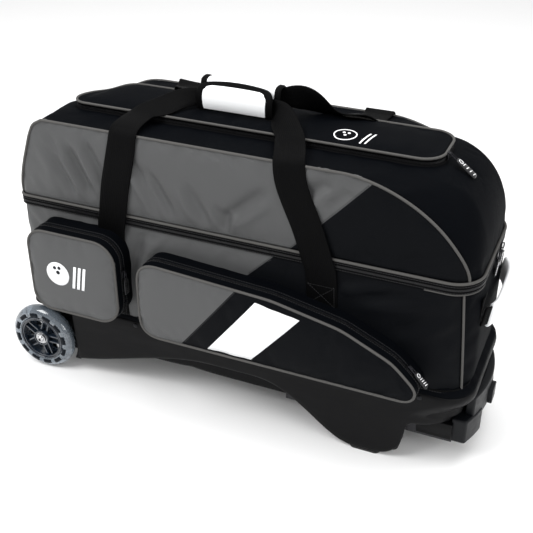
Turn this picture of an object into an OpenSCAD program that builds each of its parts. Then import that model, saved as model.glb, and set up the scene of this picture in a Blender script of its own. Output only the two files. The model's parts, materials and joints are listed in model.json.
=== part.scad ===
// Rolling bowling bag for three balls.
// Design space: X runs from the wheel axle to the handle end, Y = 0 is the bag's centre plane with the
// pockets on the -Y side, Z = 0 is the floor. in_frame() moves everything to the middle of the base.

/* [Wheels] */
// Outer radius of a wheel
wheel_r = 63.5; // [60:0.5:66]
// Width of the tyre
tyre_w = 30; // [26:1:32]
// Outside radius of the hub, where the tyre starts
hub_r = 43; // [40:1:46]
// Distance between the outer faces of the two wheels
track_w = 270; // [266:1:280]
// Diameter of the axle
axle_d = 8; // [7:0.5:9]

/* [Base] */
// Left end of the base and the bag, measured from the axle
body_x0 = -8; // [-12:1:-4]
// Right end of the rim of the base
rim_x1 = 788; // [784:1:792]
// Width of the rim of the base
rim_w = 252; // [248:1:256]
// Height of the top of the rim
rim_z = 150; // [148:1:154]
// Height of the underside of the deck
deck_z = 92; // [88:1:94]

/* [Bag] */
// Outside width of the fabric body
bag_w = 240; // [236:1:244]
// Right end of the fabric body
bag_x1 = 772; // [768:1:776]
// Height of the main zipper
zip_z = 350; // [346:1:356]
// Height of the piping at the top of the front panel
shoulder_z = 496; // [492:1:498]
// Thickness of a padded fabric wall
wall = 4; // [3:0.5:5]
// Height of the top of the lid
lid_z = 511; // [511:1:514]

/* [Pockets] */
// How far the pockets stand out from the front of the bag
pocket_d = 53; // [48:1:56]

/* [Straps] */
// Width of the carry webbing
web_w = 50; // [44:1:52]
// Thickness of the webbing
web_t = 2.5; // [2:0.5:3]

/* [Pull handle] */
// Distance between the centres of the two handle tubes
tube_gap = 166; // [160:1:170]
// Height of the centre of the tubes
tube_z = 51; // [50:0.5:52]

/* [Hidden] */
$fn = 64;
SOFT = 32;
bag_y = bag_w / 2;
rim_y = rim_w / 2;
wheel_y = track_w / 2 - tyre_w / 2;
button_tip_x = 803.5;
pocket_y = -bag_y - pocket_d;
frame_x = (button_tip_x - wheel_r) / 2;
frame_y = (track_w / 2 + pocket_y) / 2;
ball_x = [125, 382, 639];
ball_r = 109;
strap_pivot_z = 345;

// ---------------------------------------------------------------- helpers
module in_frame() {
    translate([-frame_x, -frame_y, 0]) children();
}

// rectangle with its own corner radius at the left end and at the right end
module round_rect(x0, x1, y0, y1, rl, rr) {
    translate([x0 + rl, y0]) square([x1 - x0 - rl - rr, y1 - y0]);
    translate([x0, y0 + rl]) square([rl, y1 - y0 - 2 * rl]);
    translate([x1 - rr, y0 + rr]) square([rr, y1 - y0 - 2 * rr]);
    for (y = [y0 + rl, y1 - rl]) translate([x0 + rl, y]) circle(rl);
    for (y = [y0 + rr, y1 - rr]) translate([x1 - rr, y]) circle(rr);
}

// plan outline extruded between two heights
module slab(x0, x1, y, z0, z1, rl, rr) {
    translate([0, 0, z0]) linear_extrude(z1 - z0) round_rect(x0, x1, -y, y, rl, rr);
}

// XZ outline extruded along Y from y0 to y1
module side(y0, y1) {
    translate([0, y1, 0]) rotate([90, 0, 0]) linear_extrude(y1 - y0) children();
}

// box given by its two corners
module block(a, b) {
    translate(a) cube(b - a);
}

// Y-axis cylinder from y0 to y1 at (x, z)
module rod_y(x, z, r, y0, y1) {
    translate([x, y0, z]) rotate([-90, 0, 0]) cylinder(r = r, h = y1 - y0);
}

function arc(cx, cz, r, a0, a1, n) =
    [for (i = [0:n]) let (a = a0 + (a1 - a0) * i / n) [cx + r * cos(a), cz + r * sin(a)]];

// quarter of a superellipse about (cx, cz), from straight up to straight right
function quarter(cx, cz, rx, rz, e, n) =
    [for (i = [0:n]) let (a = 90 * i / n)
        [cx + rx * pow(sin(a), 2 / e), cz + rz * pow(max(cos(a), 0), 2 / e)]];

// ---------------------------------------------------------------- base
arch_top = 94;
foot_x0 = 470;
foot_x1 = 686;

module skirt_profile() {
    polygon(concat(
        [[70, rim_z - 22], [70, 33], [112, 38]],
        arc(305, -70, 165, 133, 90, 6),
        [[415, arch_top], [foot_x0, 77], [505, 66], [540, 34]],
        arc(596, 70, 66, 212, 270, 6),
        arc(638, 70, 66, 270, 312, 4),
        [[foot_x1, 66], [696, 80], [rim_x1, 80], [rim_x1, rim_z - 22]]
    ));
}

// inside of the tub, inset by gap
module tub(gap, z0, z1) {
    slab(80 + gap, rim_x1 - 20 - gap, rim_y - 8 - gap, z0, z1, 6, 82);
    slab(body_x0 + 2 + gap, 120, 96 - gap, z0, z1, 12, 6);
}

module tube_slots() {
    for (s = [-1, 1])
        block([outer_x0 - 2, s * tube_gap / 2 - 9.5, tube_z - 9.5], [rim_x1, s * tube_gap / 2 + 9.5, tube_z + 9.5]);
}

module base_tray() {
    color([0.07, 0.07, 0.08]) in_frame() difference() {
        union() {
            // rim shelf with its raised lip
            slab(body_x0 - 4, rim_x1, rim_y, rim_z - 22, rim_z, 18, 40);
            // skirt and feet
            intersection() {
                side(-rim_y + 2, rim_y - 2) skirt_profile();
                slab(68, rim_x1 - 12, rim_y - 2, 0, rim_z, 4, 90);
            }
            // narrow part between the wheels, which carries the axle
            block([body_x0 - 2, -98, 42], [80, 98, rim_z]);
            // channels that house the handle tubes
            for (s = [-1, 1])
                block([70, s * tube_gap / 2 - 14, 58], [foot_x0 + 40, s * tube_gap / 2 + 14, 100]);
        }
        // ball tub, narrower between the wheels
        tub(0, deck_z + 8, rim_z + 1);
        // wheel wells
        for (s = [-1, 1])
            rod_y(0, wheel_r, wheel_r + 8, min(s * 102, s * 140), max(s * 102, s * 140));
        // open underside between the skirts, clear of the feet
        block([84, -rim_y + 8, -1], [foot_x0, -tube_gap / 2 - 14, deck_z]);
        block([84, tube_gap / 2 + 14, -1], [foot_x0, rim_y - 8, deck_z]);
        block([84, -tube_gap / 2 + 14, -1], [rim_x1 - 60, tube_gap / 2 - 14, deck_z]);
        tube_slots();
        // axle bore
        rod_y(0, wheel_r, axle_d / 2, -110, 110);
    }
}

module rim_rivets() {
    color([0.1, 0.1, 0.11]) in_frame() for (s = [-1, 1], i = [0:11])
        translate([90 + i * 56, s * (rim_y - 1), rim_z - 9]) rotate([s * 90, 0, 0])
            translate([0, 0, -2.5]) cylinder(r = 2.6, h = 2.5);
}

module foot_skids() {
    color([0.12, 0.12, 0.13]) in_frame() for (s = [-1, 1])
        translate([622, s * 111, 0]) linear_extrude(4) round_rect(-26, 26, -11, 11, 9, 9);
}

// ---------------------------------------------------------------- axle and wheels
module wheel_axle() {
    color([0.7, 0.7, 0.72]) in_frame() rod_y(0, wheel_r, axle_d / 2, -track_w / 2, track_w / 2);
}

module axle_nuts() {
    color([0.75, 0.76, 0.78]) in_frame() for (s = [-1, 1]) difference() {
        translate([0, s * (wheel_y + 12.7), wheel_r]) rotate([-s * 90, 0, 0]) cylinder(r = 9, h = 2.3);
        rod_y(0, wheel_r, axle_d / 2, -track_w, track_w);
    }
}

module axle_washers() {
    color([0.6, 0.6, 0.62]) in_frame() for (s = [-1, 1]) difference() {
        rod_y(0, wheel_r, 8, min(s * 98, s * 107.3), max(s * 98, s * 107.3));
        rod_y(0, wheel_r, axle_d / 2, -track_w, track_w);
    }
}

tyre_crown = tyre_w / 2;

// tyre cross-section: r along X, width along Y
module tyre_section() {
    polygon(concat(
        [[hub_r, -12], [hub_r, 12], [hub_r + 3, 13.5]],
        [for (i = [0:16]) let (a = 180 * i / 16)
            [50 + (wheel_r - 50) * sin(a), tyre_crown * cos(a)]],
        [[hub_r + 3, -13.5]]
    ));
}

module tyre_at(s) {
    in_frame() translate([0, s * wheel_y, wheel_r]) rotate([-90, 0, 0]) rotate_extrude($fn = 96) tyre_section();
}

// hub: rim ring, centre boss and five pairs of parallel spokes
module hub_at(s) {
    in_frame() translate([0, s * wheel_y, wheel_r]) rotate([-90, 0, 0]) difference() {
        union() {
            difference() {
                translate([0, 0, -12]) cylinder(r = hub_r, h = 24);
                translate([0, 0, -13]) cylinder(r = hub_r - 3.5, h = 26);
            }
            translate([0, 0, -1.5]) cylinder(r = hub_r - 3, h = 3);
            translate([0, 0, -12.5]) cylinder(r = 13.5, h = 25);
            for (i = [0:4], k = [-1, 1])
                rotate([0, 0, i * 72]) translate([0, k * 6 - 1.25, -9]) cube([hub_r - 2, 2.5, 18]);
        }
        // bearing seats and the passage between them
        for (z = [-13, 5.5]) translate([0, 0, z]) cylinder(r = 11, h = 7.5);
        translate([0, 0, -14]) cylinder(r = 6, h = 28);
        // windows between the spoke pairs
        for (i = [0:4]) rotate([0, 0, i * 72 + 36]) translate([27, 0, -3]) cylinder(r = 8, h = 6);
    }
}

module bearings_at(s) {
    in_frame() translate([0, s * wheel_y, wheel_r]) rotate([-90, 0, 0]) for (z = [-12.5, 5.5])
        difference() {
            translate([0, 0, z]) cylinder(r = 11, h = 7);
            translate([0, 0, z - 1]) cylinder(r = axle_d / 2 + 0.05, h = 9);
        }
}

module front_tyre() { color([0.75, 0.78, 0.8, 0.6]) tyre_at(-1); }
module front_hub() { color([0.08, 0.1, 0.14]) hub_at(-1); }
module front_bearings() { color([0.7, 0.7, 0.7]) bearings_at(-1); }
module rear_tyre() { color([0.75, 0.78, 0.8, 0.6]) tyre_at(1); }
module rear_hub() { color([0.08, 0.1, 0.14]) hub_at(1); }
module rear_bearings() { color([0.7, 0.7, 0.7]) bearings_at(1); }

// ---------------------------------------------------------------- pull handle
outer_x0 = 470;
outer_x1 = 758;
block_x0 = 762;

module outer_tube(s) {
    in_frame() translate([outer_x0, s * tube_gap / 2, tube_z]) difference() {
        translate([0, -9.5, -9.5]) cube([outer_x1 - outer_x0, 19, 19]);
        translate([2, -8, -8]) cube([outer_x1 - outer_x0, 16, 16]);
    }
}

module inner_tube(s) {
    in_frame() translate([outer_x0 + 10, s * tube_gap / 2, tube_z]) difference() {
        translate([0, -7, -7]) cube([block_x0 + 20 - outer_x0 - 10, 14, 14]);
        translate([-1, -5.6, -5.6]) cube([block_x0 + 18 - outer_x0 - 10, 11.2, 11.2]);
    }
}

module front_outer_tube() { color([0.5, 0.5, 0.52]) outer_tube(-1); }
module rear_outer_tube() { color([0.5, 0.5, 0.52]) outer_tube(1); }
module front_inner_tube() { color([0.72, 0.73, 0.75]) inner_tube(-1); }
module rear_inner_tube() { color([0.72, 0.73, 0.75]) inner_tube(1); }

// clamps that hold the outer tubes up under the deck, at the tube mouths
module tube_collars() {
    color([0.09, 0.09, 0.1]) in_frame() for (s = [-1, 1]) difference() {
        block([700, s * tube_gap / 2 - 15, tube_z - 12.5], [outer_x1, s * tube_gap / 2 + 15, 80]);
        block([699, s * tube_gap / 2 - 9.5, tube_z - 9.5], [outer_x1 + 1, s * tube_gap / 2 + 9.5, tube_z + 9.5]);
    }
}

module tube_screws() {
    color([0.65, 0.65, 0.67]) in_frame() for (s = [-1, 1], x = [712, 746], k = [-1, 1])
        translate([x, s * tube_gap / 2 + k * 12.2, tube_z - 14.5]) cylinder(r = 2.3, h = 2);
}

// curved bar seen from above: a ring sector with its ends at y = +-half
module bow(half, x_end, x_mid, t) {
    sag = x_mid - x_end;
    r = (half * half + sag * sag) / (2 * sag);
    intersection() {
        translate([x_mid - r, 0]) difference() {
            circle(r = r, $fn = 180);
            circle(r = r - t, $fn = 180);
        }
        translate([x_end - 60, -half]) square([120, 2 * half]);
    }
}

module handle_grip() {
    color([0.1, 0.1, 0.11]) in_frame() difference() {
        translate([0, 0, 74]) linear_extrude(50) bow(92, 777, 797, 14);
        // chamber of the release button
        block([785, -14.4, 75.6], [800, 14.4, 104.4]);
    }
}

module handle_block(s) {
    in_frame() difference() {
        intersection() {
            translate([0, 0, 42]) linear_extrude(32) bow(92, 777, 797, 40);
            block([block_x0, s > 0 ? 46 : -92, 41], [800, s > 0 ? 92 : -46, 80]);
        }
        block([700, s * tube_gap / 2 - 7, tube_z - 7], [block_x0 + 20, s * tube_gap / 2 + 7, tube_z + 7]);
    }
}

module front_handle_block() { color([0.16, 0.16, 0.17]) handle_block(-1); }
module rear_handle_block() { color([0.16, 0.16, 0.17]) handle_block(1); }

module release_button() {
    color([0.14, 0.14, 0.15]) in_frame() block([791, -14, 76], [button_tip_x, 14, 104]);
}

module button_spring() {
    color([0.8, 0.8, 0.8]) in_frame() translate([785.1, 0, 90]) rotate([0, 90, 0]) cylinder(r = 5, h = 5.8);
}

// ---------------------------------------------------------------- inside the ball bay
module floor_board() {
    color([0.15, 0.15, 0.15]) in_frame() tub(1.5, deck_z + 8, deck_z + 11);
}

module ball_cup(i) {
    in_frame() translate([ball_x[i], 0, deck_z + 11]) difference() {
        cylinder(r = 88, h = 22);
        translate([0, 0, ball_r + 1]) sphere(r = ball_r + 1);
        translate([0, 0, -1]) cylinder(r = 30, h = 10);
    }
}

module ball_cup_left() { color([0.25, 0.25, 0.27]) ball_cup(0); }
module ball_cup_middle() { color([0.25, 0.25, 0.27]) ball_cup(1); }
module ball_cup_right() { color([0.25, 0.25, 0.27]) ball_cup(2); }

module ball_divider(x) {
    in_frame() block([x - 5, -bag_y + 8, deck_z + 12], [x + 5, bag_y - 8, zip_z - 14]);
}

module ball_divider_left() { color([0.2, 0.2, 0.22]) ball_divider((ball_x[0] + ball_x[1]) / 2); }
module ball_divider_right() { color([0.2, 0.2, 0.22]) ball_divider((ball_x[1] + ball_x[2]) / 2); }

// ---------------------------------------------------------------- lower fabric body
module lower_body() {
    color([0.4, 0.4, 0.42]) in_frame() difference() {
        slab(body_x0, bag_x1, bag_y, rim_z, zip_z - 8, 14, 45);
        slab(body_x0 + wall, bag_x1 - wall, bag_y - wall, rim_z - 1, zip_z, 10, 41);
    }
}

module lower_zip_tape() {
    color([0.06, 0.06, 0.06]) in_frame() difference() {
        slab(body_x0, bag_x1, bag_y, zip_z - 8, zip_z - 0.5, 14, 45);
        slab(body_x0 + wall, bag_x1 - wall, bag_y - wall, zip_z - 9, zip_z + 1, 10, 41);
    }
}

// ---------------------------------------------------------------- pockets
module left_outline(grow = 0) {
    round_rect(34 - grow, 200 + grow, 170 - grow, 323 + grow, 30, 30);
}

// convex teardrop: tall at the left, one long curve down to a blunt nose at the right
module right_outline(grow = 0) {
    hull() {
        translate([268, 275]) circle(28 + grow, $fn = SOFT);
        translate([268, 192]) circle(28 + grow, $fn = SOFT);
        translate([470, 262]) circle(28 + grow, $fn = SOFT);
        translate([580, 240]) circle(28 + grow, $fn = SOFT);
        translate([655, 204]) circle(28 + grow, $fn = SOFT);
        translate([692, 180]) circle(18 + grow, $fn = SOFT);
    }
}

pocket_split_y = pocket_y + 22;

module left_pocket_body() {
    color([0.06, 0.06, 0.07]) in_frame() difference() {
        side(pocket_split_y, -bag_y - 1.5) left_outline();
        side(pocket_split_y - 1, -bag_y - 5) left_outline(-3);
    }
}

module left_pocket_cover() {
    color([0.4, 0.4, 0.42]) in_frame() difference() {
        side(pocket_y, pocket_split_y - 0.6) left_outline();
        side(pocket_y + 4, pocket_split_y) left_outline(-3);
    }
}

module right_pocket_body() {
    color([0.06, 0.06, 0.07]) in_frame() difference() {
        side(pocket_split_y, -bag_y - 1.5) right_outline();
        side(pocket_split_y - 1, -bag_y - 5) right_outline(-3);
    }
}

module right_pocket_cover() {
    color([0.06, 0.06, 0.07]) in_frame() difference() {
        side(pocket_y, pocket_split_y - 0.6) right_outline();
        side(pocket_y + 4, pocket_split_y) right_outline(-3);
    }
}

// ---------------------------------------------------------------- straps
// carry straps: where their centre lines run, either side of the middle of the grip
mid_x = 355;
strap_low = 184;
strap_high = 142;

module web_link(a, b, w) {
    hull() {
        translate(a) cube([w, web_t, web_t], center = true);
        translate(b) cube([w, web_t, web_t], center = true);
    }
}

// one webbing run through a list of points, its width along X
module web_run(points, w) {
    for (i = [0:len(points) - 2]) web_link(points[i], points[i + 1], w);
}

module strap_half(k, s, z_top, y_mid) {
    web_run([
        [mid_x + k * strap_low, s * (bag_y + 4), strap_pivot_z + 3],
        [mid_x + k * strap_high, s * (bag_y + 4), shoulder_z + 2],
        [mid_x + k * (strap_high - 30), s * 76, z_top - 20],
        [mid_x + k * 92, y_mid, z_top]
    ], web_w);
}

module strap_loop(s, z_top, y_mid) {
    for (k = [-1, 1]) strap_half(k, s, z_top, y_mid);
    block([mid_x - 92, y_mid - web_t / 2, z_top - web_t / 2], [mid_x + 92, y_mid + web_t / 2, z_top + web_t / 2]);
}

wrap_x0 = 290;
wrap_x1 = 420;
front_grip_y = -14;
rear_grip_y = 10;
grip_z = 540;

module front_strap() {
    color([0.05, 0.05, 0.05]) in_frame() strap_loop(-1, grip_z, front_grip_y);
}

module rear_strap() {
    color([0.05, 0.05, 0.05]) in_frame() strap_loop(1, grip_z, rear_grip_y);
}

module strap_base(s) {
    in_frame() for (k = [-1, 1])
        block([mid_x + k * (strap_low + 6) - web_w / 2, s > 0 ? bag_y + 0.3 : -bag_y - 1.3, rim_z + 1],
              [mid_x + k * (strap_low + 6) + web_w / 2, s > 0 ? bag_y + 1.3 : -bag_y - 0.3, strap_pivot_z - 2]);
}

module front_strap_base() { color([0.05, 0.05, 0.05]) strap_base(-1); }
module rear_strap_base() { color([0.05, 0.05, 0.05]) strap_base(1); }

// white padded flap that hangs in front of the front webbing and folds over its top
module wrap_flap() {
    color([0.95, 0.95, 0.95]) in_frame() {
        block([wrap_x0, front_grip_y - 8, lid_z + 2], [wrap_x1, front_grip_y - 3, grip_z + 12]);
        block([wrap_x0, front_grip_y - 8, grip_z + 8], [wrap_x1, front_grip_y + 10, grip_z + 12]);
    }
}

// padded channel round the rear webbing
module wrap_pad() {
    color([0.95, 0.95, 0.95]) in_frame() {
        block([wrap_x0, rear_grip_y - 12, grip_z + 3], [wrap_x1, rear_grip_y + 10, grip_z + 12]);
        block([wrap_x0, rear_grip_y + 4, grip_z - 12], [wrap_x1, rear_grip_y + 10, grip_z + 3]);
        block([wrap_x0, rear_grip_y - 12, grip_z - 12], [wrap_x1, rear_grip_y + 10, grip_z - 4]);
    }
}

// ---------------------------------------------------------------- upper compartment
lid_x0 = 72;
lid_x1 = 686;
lid_y = 54;

module upper_outline(inset = 0) {
    polygon(concat(
        [[body_x0 + inset, zip_z + 7], [26 + inset, shoulder_z - 32 - inset], [36 + inset, shoulder_z - 12 - inset],
         [56 + inset, shoulder_z - inset]],
        quarter(562, zip_z, bag_x1 - 4 - 562 - inset, shoulder_z - zip_z - inset, 1.75, 14),
        [[bag_x1 - 4 - inset, zip_z + 7]]
    ));
}

module upper_solid(inset) {
    hull() {
        intersection() {
            side(-bag_y + inset, bag_y - inset) upper_outline(inset);
            slab(body_x0 + inset, bag_x1 - inset, bag_y - inset, zip_z, lid_z, 14, 45);
        }
        slab(lid_x0 + 4 + inset, lid_x1 - 4 - inset, lid_y + 4 - inset, shoulder_z - 20, lid_z - 14 - inset, 20, 29);
    }
}

module upper_body() {
    color([0.4, 0.4, 0.42]) in_frame() difference() {
        upper_solid(0);
        difference() {
            upper_solid(wall);
            block([-50, -200, zip_z], [900, 200, zip_z + 7]);
        }
        slab(lid_x0 + 12, lid_x1 - 12, lid_y - 8, shoulder_z - 24, lid_z, 14, 22);
        block([-50, -200, zip_z - 10], [900, 200, zip_z + 7]);
        slab(body_x0 + wall, bag_x1 - wall, bag_y - wall, zip_z - 10, zip_z + 9, 10, 41);
    }
}

module upper_floor() {
    color([0.12, 0.12, 0.12]) in_frame() slab(body_x0 + wall + 0.5, bag_x1 - wall - 0.5, bag_y - wall - 0.5,
        zip_z + 1, zip_z + 6, 10, 41);
}

module upper_zip_tape() {
    color([0.35, 0.35, 0.35]) in_frame() difference() {
        slab(body_x0, bag_x1, bag_y, zip_z + 0.5, zip_z + 7, 14, 45);
        slab(body_x0 + wall, bag_x1 - wall, bag_y - wall, zip_z, zip_z + 8, 10, 41);
    }
}

module lid_zip_tape() {
    color([0.06, 0.06, 0.06]) in_frame() difference() {
        slab(lid_x0 + 4, lid_x1 - 4, lid_y + 2, lid_z - 13.8, lid_z - 9.5, 20, 30);
        slab(lid_x0 + 12, lid_x1 - 12, lid_y - 8, lid_z - 20, lid_z, 14, 22);
    }
}

module lid() {
    color([0.06, 0.06, 0.07]) in_frame() {
        slab(lid_x0, lid_x1, lid_y + 2, lid_z - 9, lid_z - 3, 24, 34);
        hull() {
            slab(lid_x0 + 4, lid_x1 - 4, lid_y - 2, lid_z - 4, lid_z - 3, 22, 32);
            slab(lid_x0 + 50, lid_x1 - 50, lid_y - 30, lid_z - 1, lid_z, 12, 12);
        }
    }
}

// ---------------------------------------------------------------- zipper sliders and pulls
// slider body with its bridge, lying in XZ with its back on +Y; the pull hangs from its bridge
module slider_shape() {
    translate([-5, -3, -7]) cube([10, 3, 14]);
    for (x = [-4, 2.6]) translate([x, -6.5, 2]) cube([1.4, 4, 4]);
}

module pull_shape() {
    translate([0, -5, 4]) rotate([0, 90, 0]) cylinder(r = 1.1, h = 4.8, center = true);
    translate([-2.2, -6, -12]) cube([4.4, 2, 16]);
    translate([-4.5, -6.6, -34]) cube([9, 3.2, 22]);
}

// main zipper: two sliders on the right end, their backs to -X
module main_at(y) {
    in_frame() translate([bag_x1 + 0.8, y, zip_z]) rotate([0, 0, 90]) children();
}

module main_slider_front() { color([0.1, 0.1, 0.1]) main_at(0) slider_shape(); }
module main_pull_front() { color([0.1, 0.1, 0.1]) main_at(0) pull_shape(); }
module main_slider_rear() { color([0.1, 0.1, 0.1]) main_at(34) slider_shape(); }
module main_pull_rear() { color([0.1, 0.1, 0.1]) main_at(34) pull_shape(); }

// lid zipper: one slider on the right end of the lid, its pull lying down the slope of the bag
module lid_at() {
    in_frame() translate([lid_x1 + 0.8, -20, lid_z - 6.5]) rotate([0, 0, 90]) children();
}

module lid_slider() { color([0.1, 0.1, 0.1]) lid_at() slider_shape(); }
module lid_pull() {
    color([0.1, 0.1, 0.1]) lid_at() translate([0, -5, 4]) rotate([-52, 0, 0]) translate([0, 5, -4]) pull_shape();
}

// left pocket zipper: the slider sits on the right-hand gusset
module left_pocket_at() {
    in_frame() translate([200.8, pocket_split_y - 0.3, 262]) rotate([0, 0, 90]) children();
}

module left_pocket_slider() { color([0.1, 0.1, 0.1]) left_pocket_at() slider_shape(); }
module left_pocket_pull() { color([0.1, 0.1, 0.1]) left_pocket_at() pull_shape(); }

// right pocket zipper: the slider sits on the straight run above the nose
nose_tilt = 44;
module right_pocket_at() {
    in_frame() translate([690, pocket_split_y - 0.3, 209]) rotate([0, -nose_tilt, 0]) rotate([0, 0, 90]) children();
}

module right_pocket_slider() { color([0.1, 0.1, 0.1]) right_pocket_at() slider_shape(); }
module right_pocket_pull() { color([0.1, 0.1, 0.1]) right_pocket_at() pull_shape(); }

// ---------------------------------------------------------------- end grab handle
end_handle_z = 304;

module end_handle_tabs() {
    color([0.05, 0.05, 0.05]) in_frame() for (s = [-1, 1])
        block([bag_x1 + 0.4, s * 70 - 14, end_handle_z - 16], [bag_x1 + 3, s * 70 + 14, end_handle_z + 8]);
}

module end_handle_loop() {
    color([0.05, 0.05, 0.05]) in_frame() translate([0, 0, end_handle_z - 40]) linear_extrude(38)
        bow(78, 778, 794, 2.5);
}

module end_handle_wrap() {
    color([0.95, 0.95, 0.95]) in_frame() difference() {
        translate([0, 0, end_handle_z - 43]) linear_extrude(44) intersection() {
            bow(78, 780.5, 796.5, 7.5);
            translate([700, -54]) square([120, 108]);
        }
        translate([0, 0, end_handle_z - 40]) linear_extrude(38) bow(78, 778, 794, 2.5);
    }
}

// ---------------------------------------------------------------- drawing
base_tray();
rim_rivets();
foot_skids();
wheel_axle();
axle_nuts();
axle_washers();
front_tyre();
front_hub();
front_bearings();
rear_tyre();
rear_hub();
rear_bearings();
front_outer_tube();
rear_outer_tube();
tube_collars();
tube_screws();
front_inner_tube();
rear_inner_tube();
front_handle_block();
rear_handle_block();
handle_grip();
release_button();
button_spring();
floor_board();
ball_cup_left();
ball_cup_middle();
ball_cup_right();
ball_divider_left();
ball_divider_right();
lower_body();
lower_zip_tape();
left_pocket_body();
left_pocket_cover();
right_pocket_body();
right_pocket_cover();
front_strap_base();
rear_strap_base();
front_strap();
rear_strap();
wrap_flap();
wrap_pad();
upper_body();
upper_floor();
upper_zip_tape();
lid();
lid_zip_tape();
lid_slider();
lid_pull();
main_slider_front();
main_pull_front();
main_slider_rear();
main_pull_rear();
left_pocket_slider();
left_pocket_pull();
right_pocket_slider();
right_pocket_pull();
end_handle_tabs();
end_handle_loop();
end_handle_wrap();
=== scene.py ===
"""Looks of the rolling bowling bag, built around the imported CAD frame.

Shapes are worked out in millimetres in the bag's design space. X runs from the wheel axle to the handle end,
Y = 0 is the centre plane with the pockets on the -Y side, and Z = 0 is the floor. place() turns design
millimetres into metres in the frame, from where the CAD wheel axle is.
"""
import json
import math

import bpy
import bmesh
import numpy as np
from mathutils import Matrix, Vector
from mathutils.bvhtree import BVHTree


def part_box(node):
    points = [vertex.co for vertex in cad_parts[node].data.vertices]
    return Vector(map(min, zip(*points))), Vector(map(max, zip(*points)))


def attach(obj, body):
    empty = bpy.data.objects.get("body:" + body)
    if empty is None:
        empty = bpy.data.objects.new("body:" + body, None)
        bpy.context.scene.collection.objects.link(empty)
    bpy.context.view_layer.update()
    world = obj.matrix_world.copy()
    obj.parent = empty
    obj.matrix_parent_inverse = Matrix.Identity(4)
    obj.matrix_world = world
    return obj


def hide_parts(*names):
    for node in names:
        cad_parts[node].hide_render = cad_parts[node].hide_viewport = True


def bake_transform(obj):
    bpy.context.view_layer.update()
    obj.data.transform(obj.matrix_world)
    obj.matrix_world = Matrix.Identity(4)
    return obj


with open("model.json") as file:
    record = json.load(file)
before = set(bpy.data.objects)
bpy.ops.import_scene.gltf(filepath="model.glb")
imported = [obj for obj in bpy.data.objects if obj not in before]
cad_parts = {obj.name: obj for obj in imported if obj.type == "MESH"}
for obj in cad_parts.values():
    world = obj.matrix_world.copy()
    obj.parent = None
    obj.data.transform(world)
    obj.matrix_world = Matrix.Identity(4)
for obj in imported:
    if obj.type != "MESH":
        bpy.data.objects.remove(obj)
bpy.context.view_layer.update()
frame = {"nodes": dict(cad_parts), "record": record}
nodes = frame["nodes"]
MM = 0.001

axle_lo, axle_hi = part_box("wheel_axle")
ORIGIN = np.array([(axle_lo.x + axle_hi.x) / 2, (axle_lo.y + axle_hi.y) / 2, 0.0])


def place(points):
    """Design millimetres to frame metres."""
    return np.asarray(points, float) * MM + ORIGIN


def added(name, data):
    """A new object in the scene."""
    obj = bpy.data.objects.new(name, data)
    bpy.context.scene.collection.objects.link(obj)
    return obj


def design_box(node):
    """A CAD node's lowest and highest corner, in design millimetres."""
    lo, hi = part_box(node)
    return (np.array(lo) - ORIGIN) / MM, (np.array(hi) - ORIGIN) / MM


# ---------------------------------------------------------------- sizes, from the frame
body_lo, body_hi = design_box("lower_body")
tape_lo, tape_hi = design_box("lower_zip_tape")
lid_lo, lid_hi = design_box("lid")
lid_tape_lo, lid_tape_hi = design_box("lid_zip_tape")
rim_lo, rim_hi = design_box("base_tray")
left_lo, left_hi = design_box("left_pocket_cover")
right_lo, right_hi = design_box("right_pocket_cover")
wrap_lo, wrap_hi = design_box("wrap_flap")
pad_lo, pad_hi = design_box("wrap_pad")

BODY_X0, BODY_X1, BODY_Y = body_lo[0], body_hi[0], body_hi[1]
BODY_R0, BODY_R1 = 14.0, 45.0
MIDDLE_X = 380
ZIP_Z = tape_hi[2] + 0.5
BAND_LOW = tape_lo[2] - 6
BAND_SPLIT = tape_hi[2] - 6
SEAM_Z = ZIP_Z + 3
SHOULDER_Z = 496.0
TOP_Z = lid_tape_lo[2]
PANEL_IN = 1.5


def core(z):
    """A point on the bag's middle line, for its outside to face away from."""
    return MIDDLE_X, 0, z


# ---------------------------------------------------------------- camera and floor
CAM_AZ, CAM_EL = math.radians(23), math.radians(31)
CAM_PLACE = (0.56019, -1.24236, 1.06018)
CAM_LENS = 62.8


def make_stage():
    """Camera at the photograph's angle, soft studio light and a plain pale floor."""
    cam = added("camera", bpy.data.cameras.new("camera"))
    cam.data.lens, cam.data.sensor_width = CAM_LENS, 36
    cam.location = CAM_PLACE
    level = math.cos(CAM_EL)
    back = Vector((math.sin(CAM_AZ) * level, -math.cos(CAM_AZ) * level, math.sin(CAM_EL)))
    cam.rotation_mode = "QUATERNION"
    cam.rotation_quaternion = (-back).to_track_quat("-Z", "Y")
    bpy.context.scene.camera = cam
    bpy.context.scene.view_settings.view_transform = "Standard"

    world = bpy.data.worlds.new("studio")
    world.use_nodes = True
    feed(world.node_tree.nodes["Background"], "Color", (1, 1, 1))
    feed(world.node_tree.nodes["Background"], "Strength", 0.7)
    bpy.context.scene.world = world
    for name, spot, aim, size, power in (
        ("key", (-1.3, -1.5, 2.6), (0, 0, 0.3), 1.5, 74),
        ("top", (0.5, 0.4, 2.6), (0, 0, 0.3), 2.0, 46),
        ("side", (2.3, -1.1, 1.3), (0.3, 0, 0.3), 1.1, 20),
    ):
        light = bpy.data.lights.new(name, "AREA")
        light.size, light.energy = size, power
        lamp = added(name, light)
        lamp.location = spot
        lamp.rotation_euler = (Vector(aim) - Vector(spot)).to_track_quat("-Z", "Y").to_euler()

    floor = bpy.data.meshes.new("floor")
    floor.from_pydata([(-9, -9, 0), (9, -9, 0), (9, 9, 0), (-9, 9, 0)], [], [(0, 1, 2, 3)])
    plane = added("floor", floor)
    material, tree, shader = shader_of("floor_paper", Base_Color=(0.9, 0.9, 0.9), Roughness=0.9)
    bumped(tree, shader, [(noise(tree, "Object", 60, 3), 0.0004, 0.1)])
    floor.materials.append(material)


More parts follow.
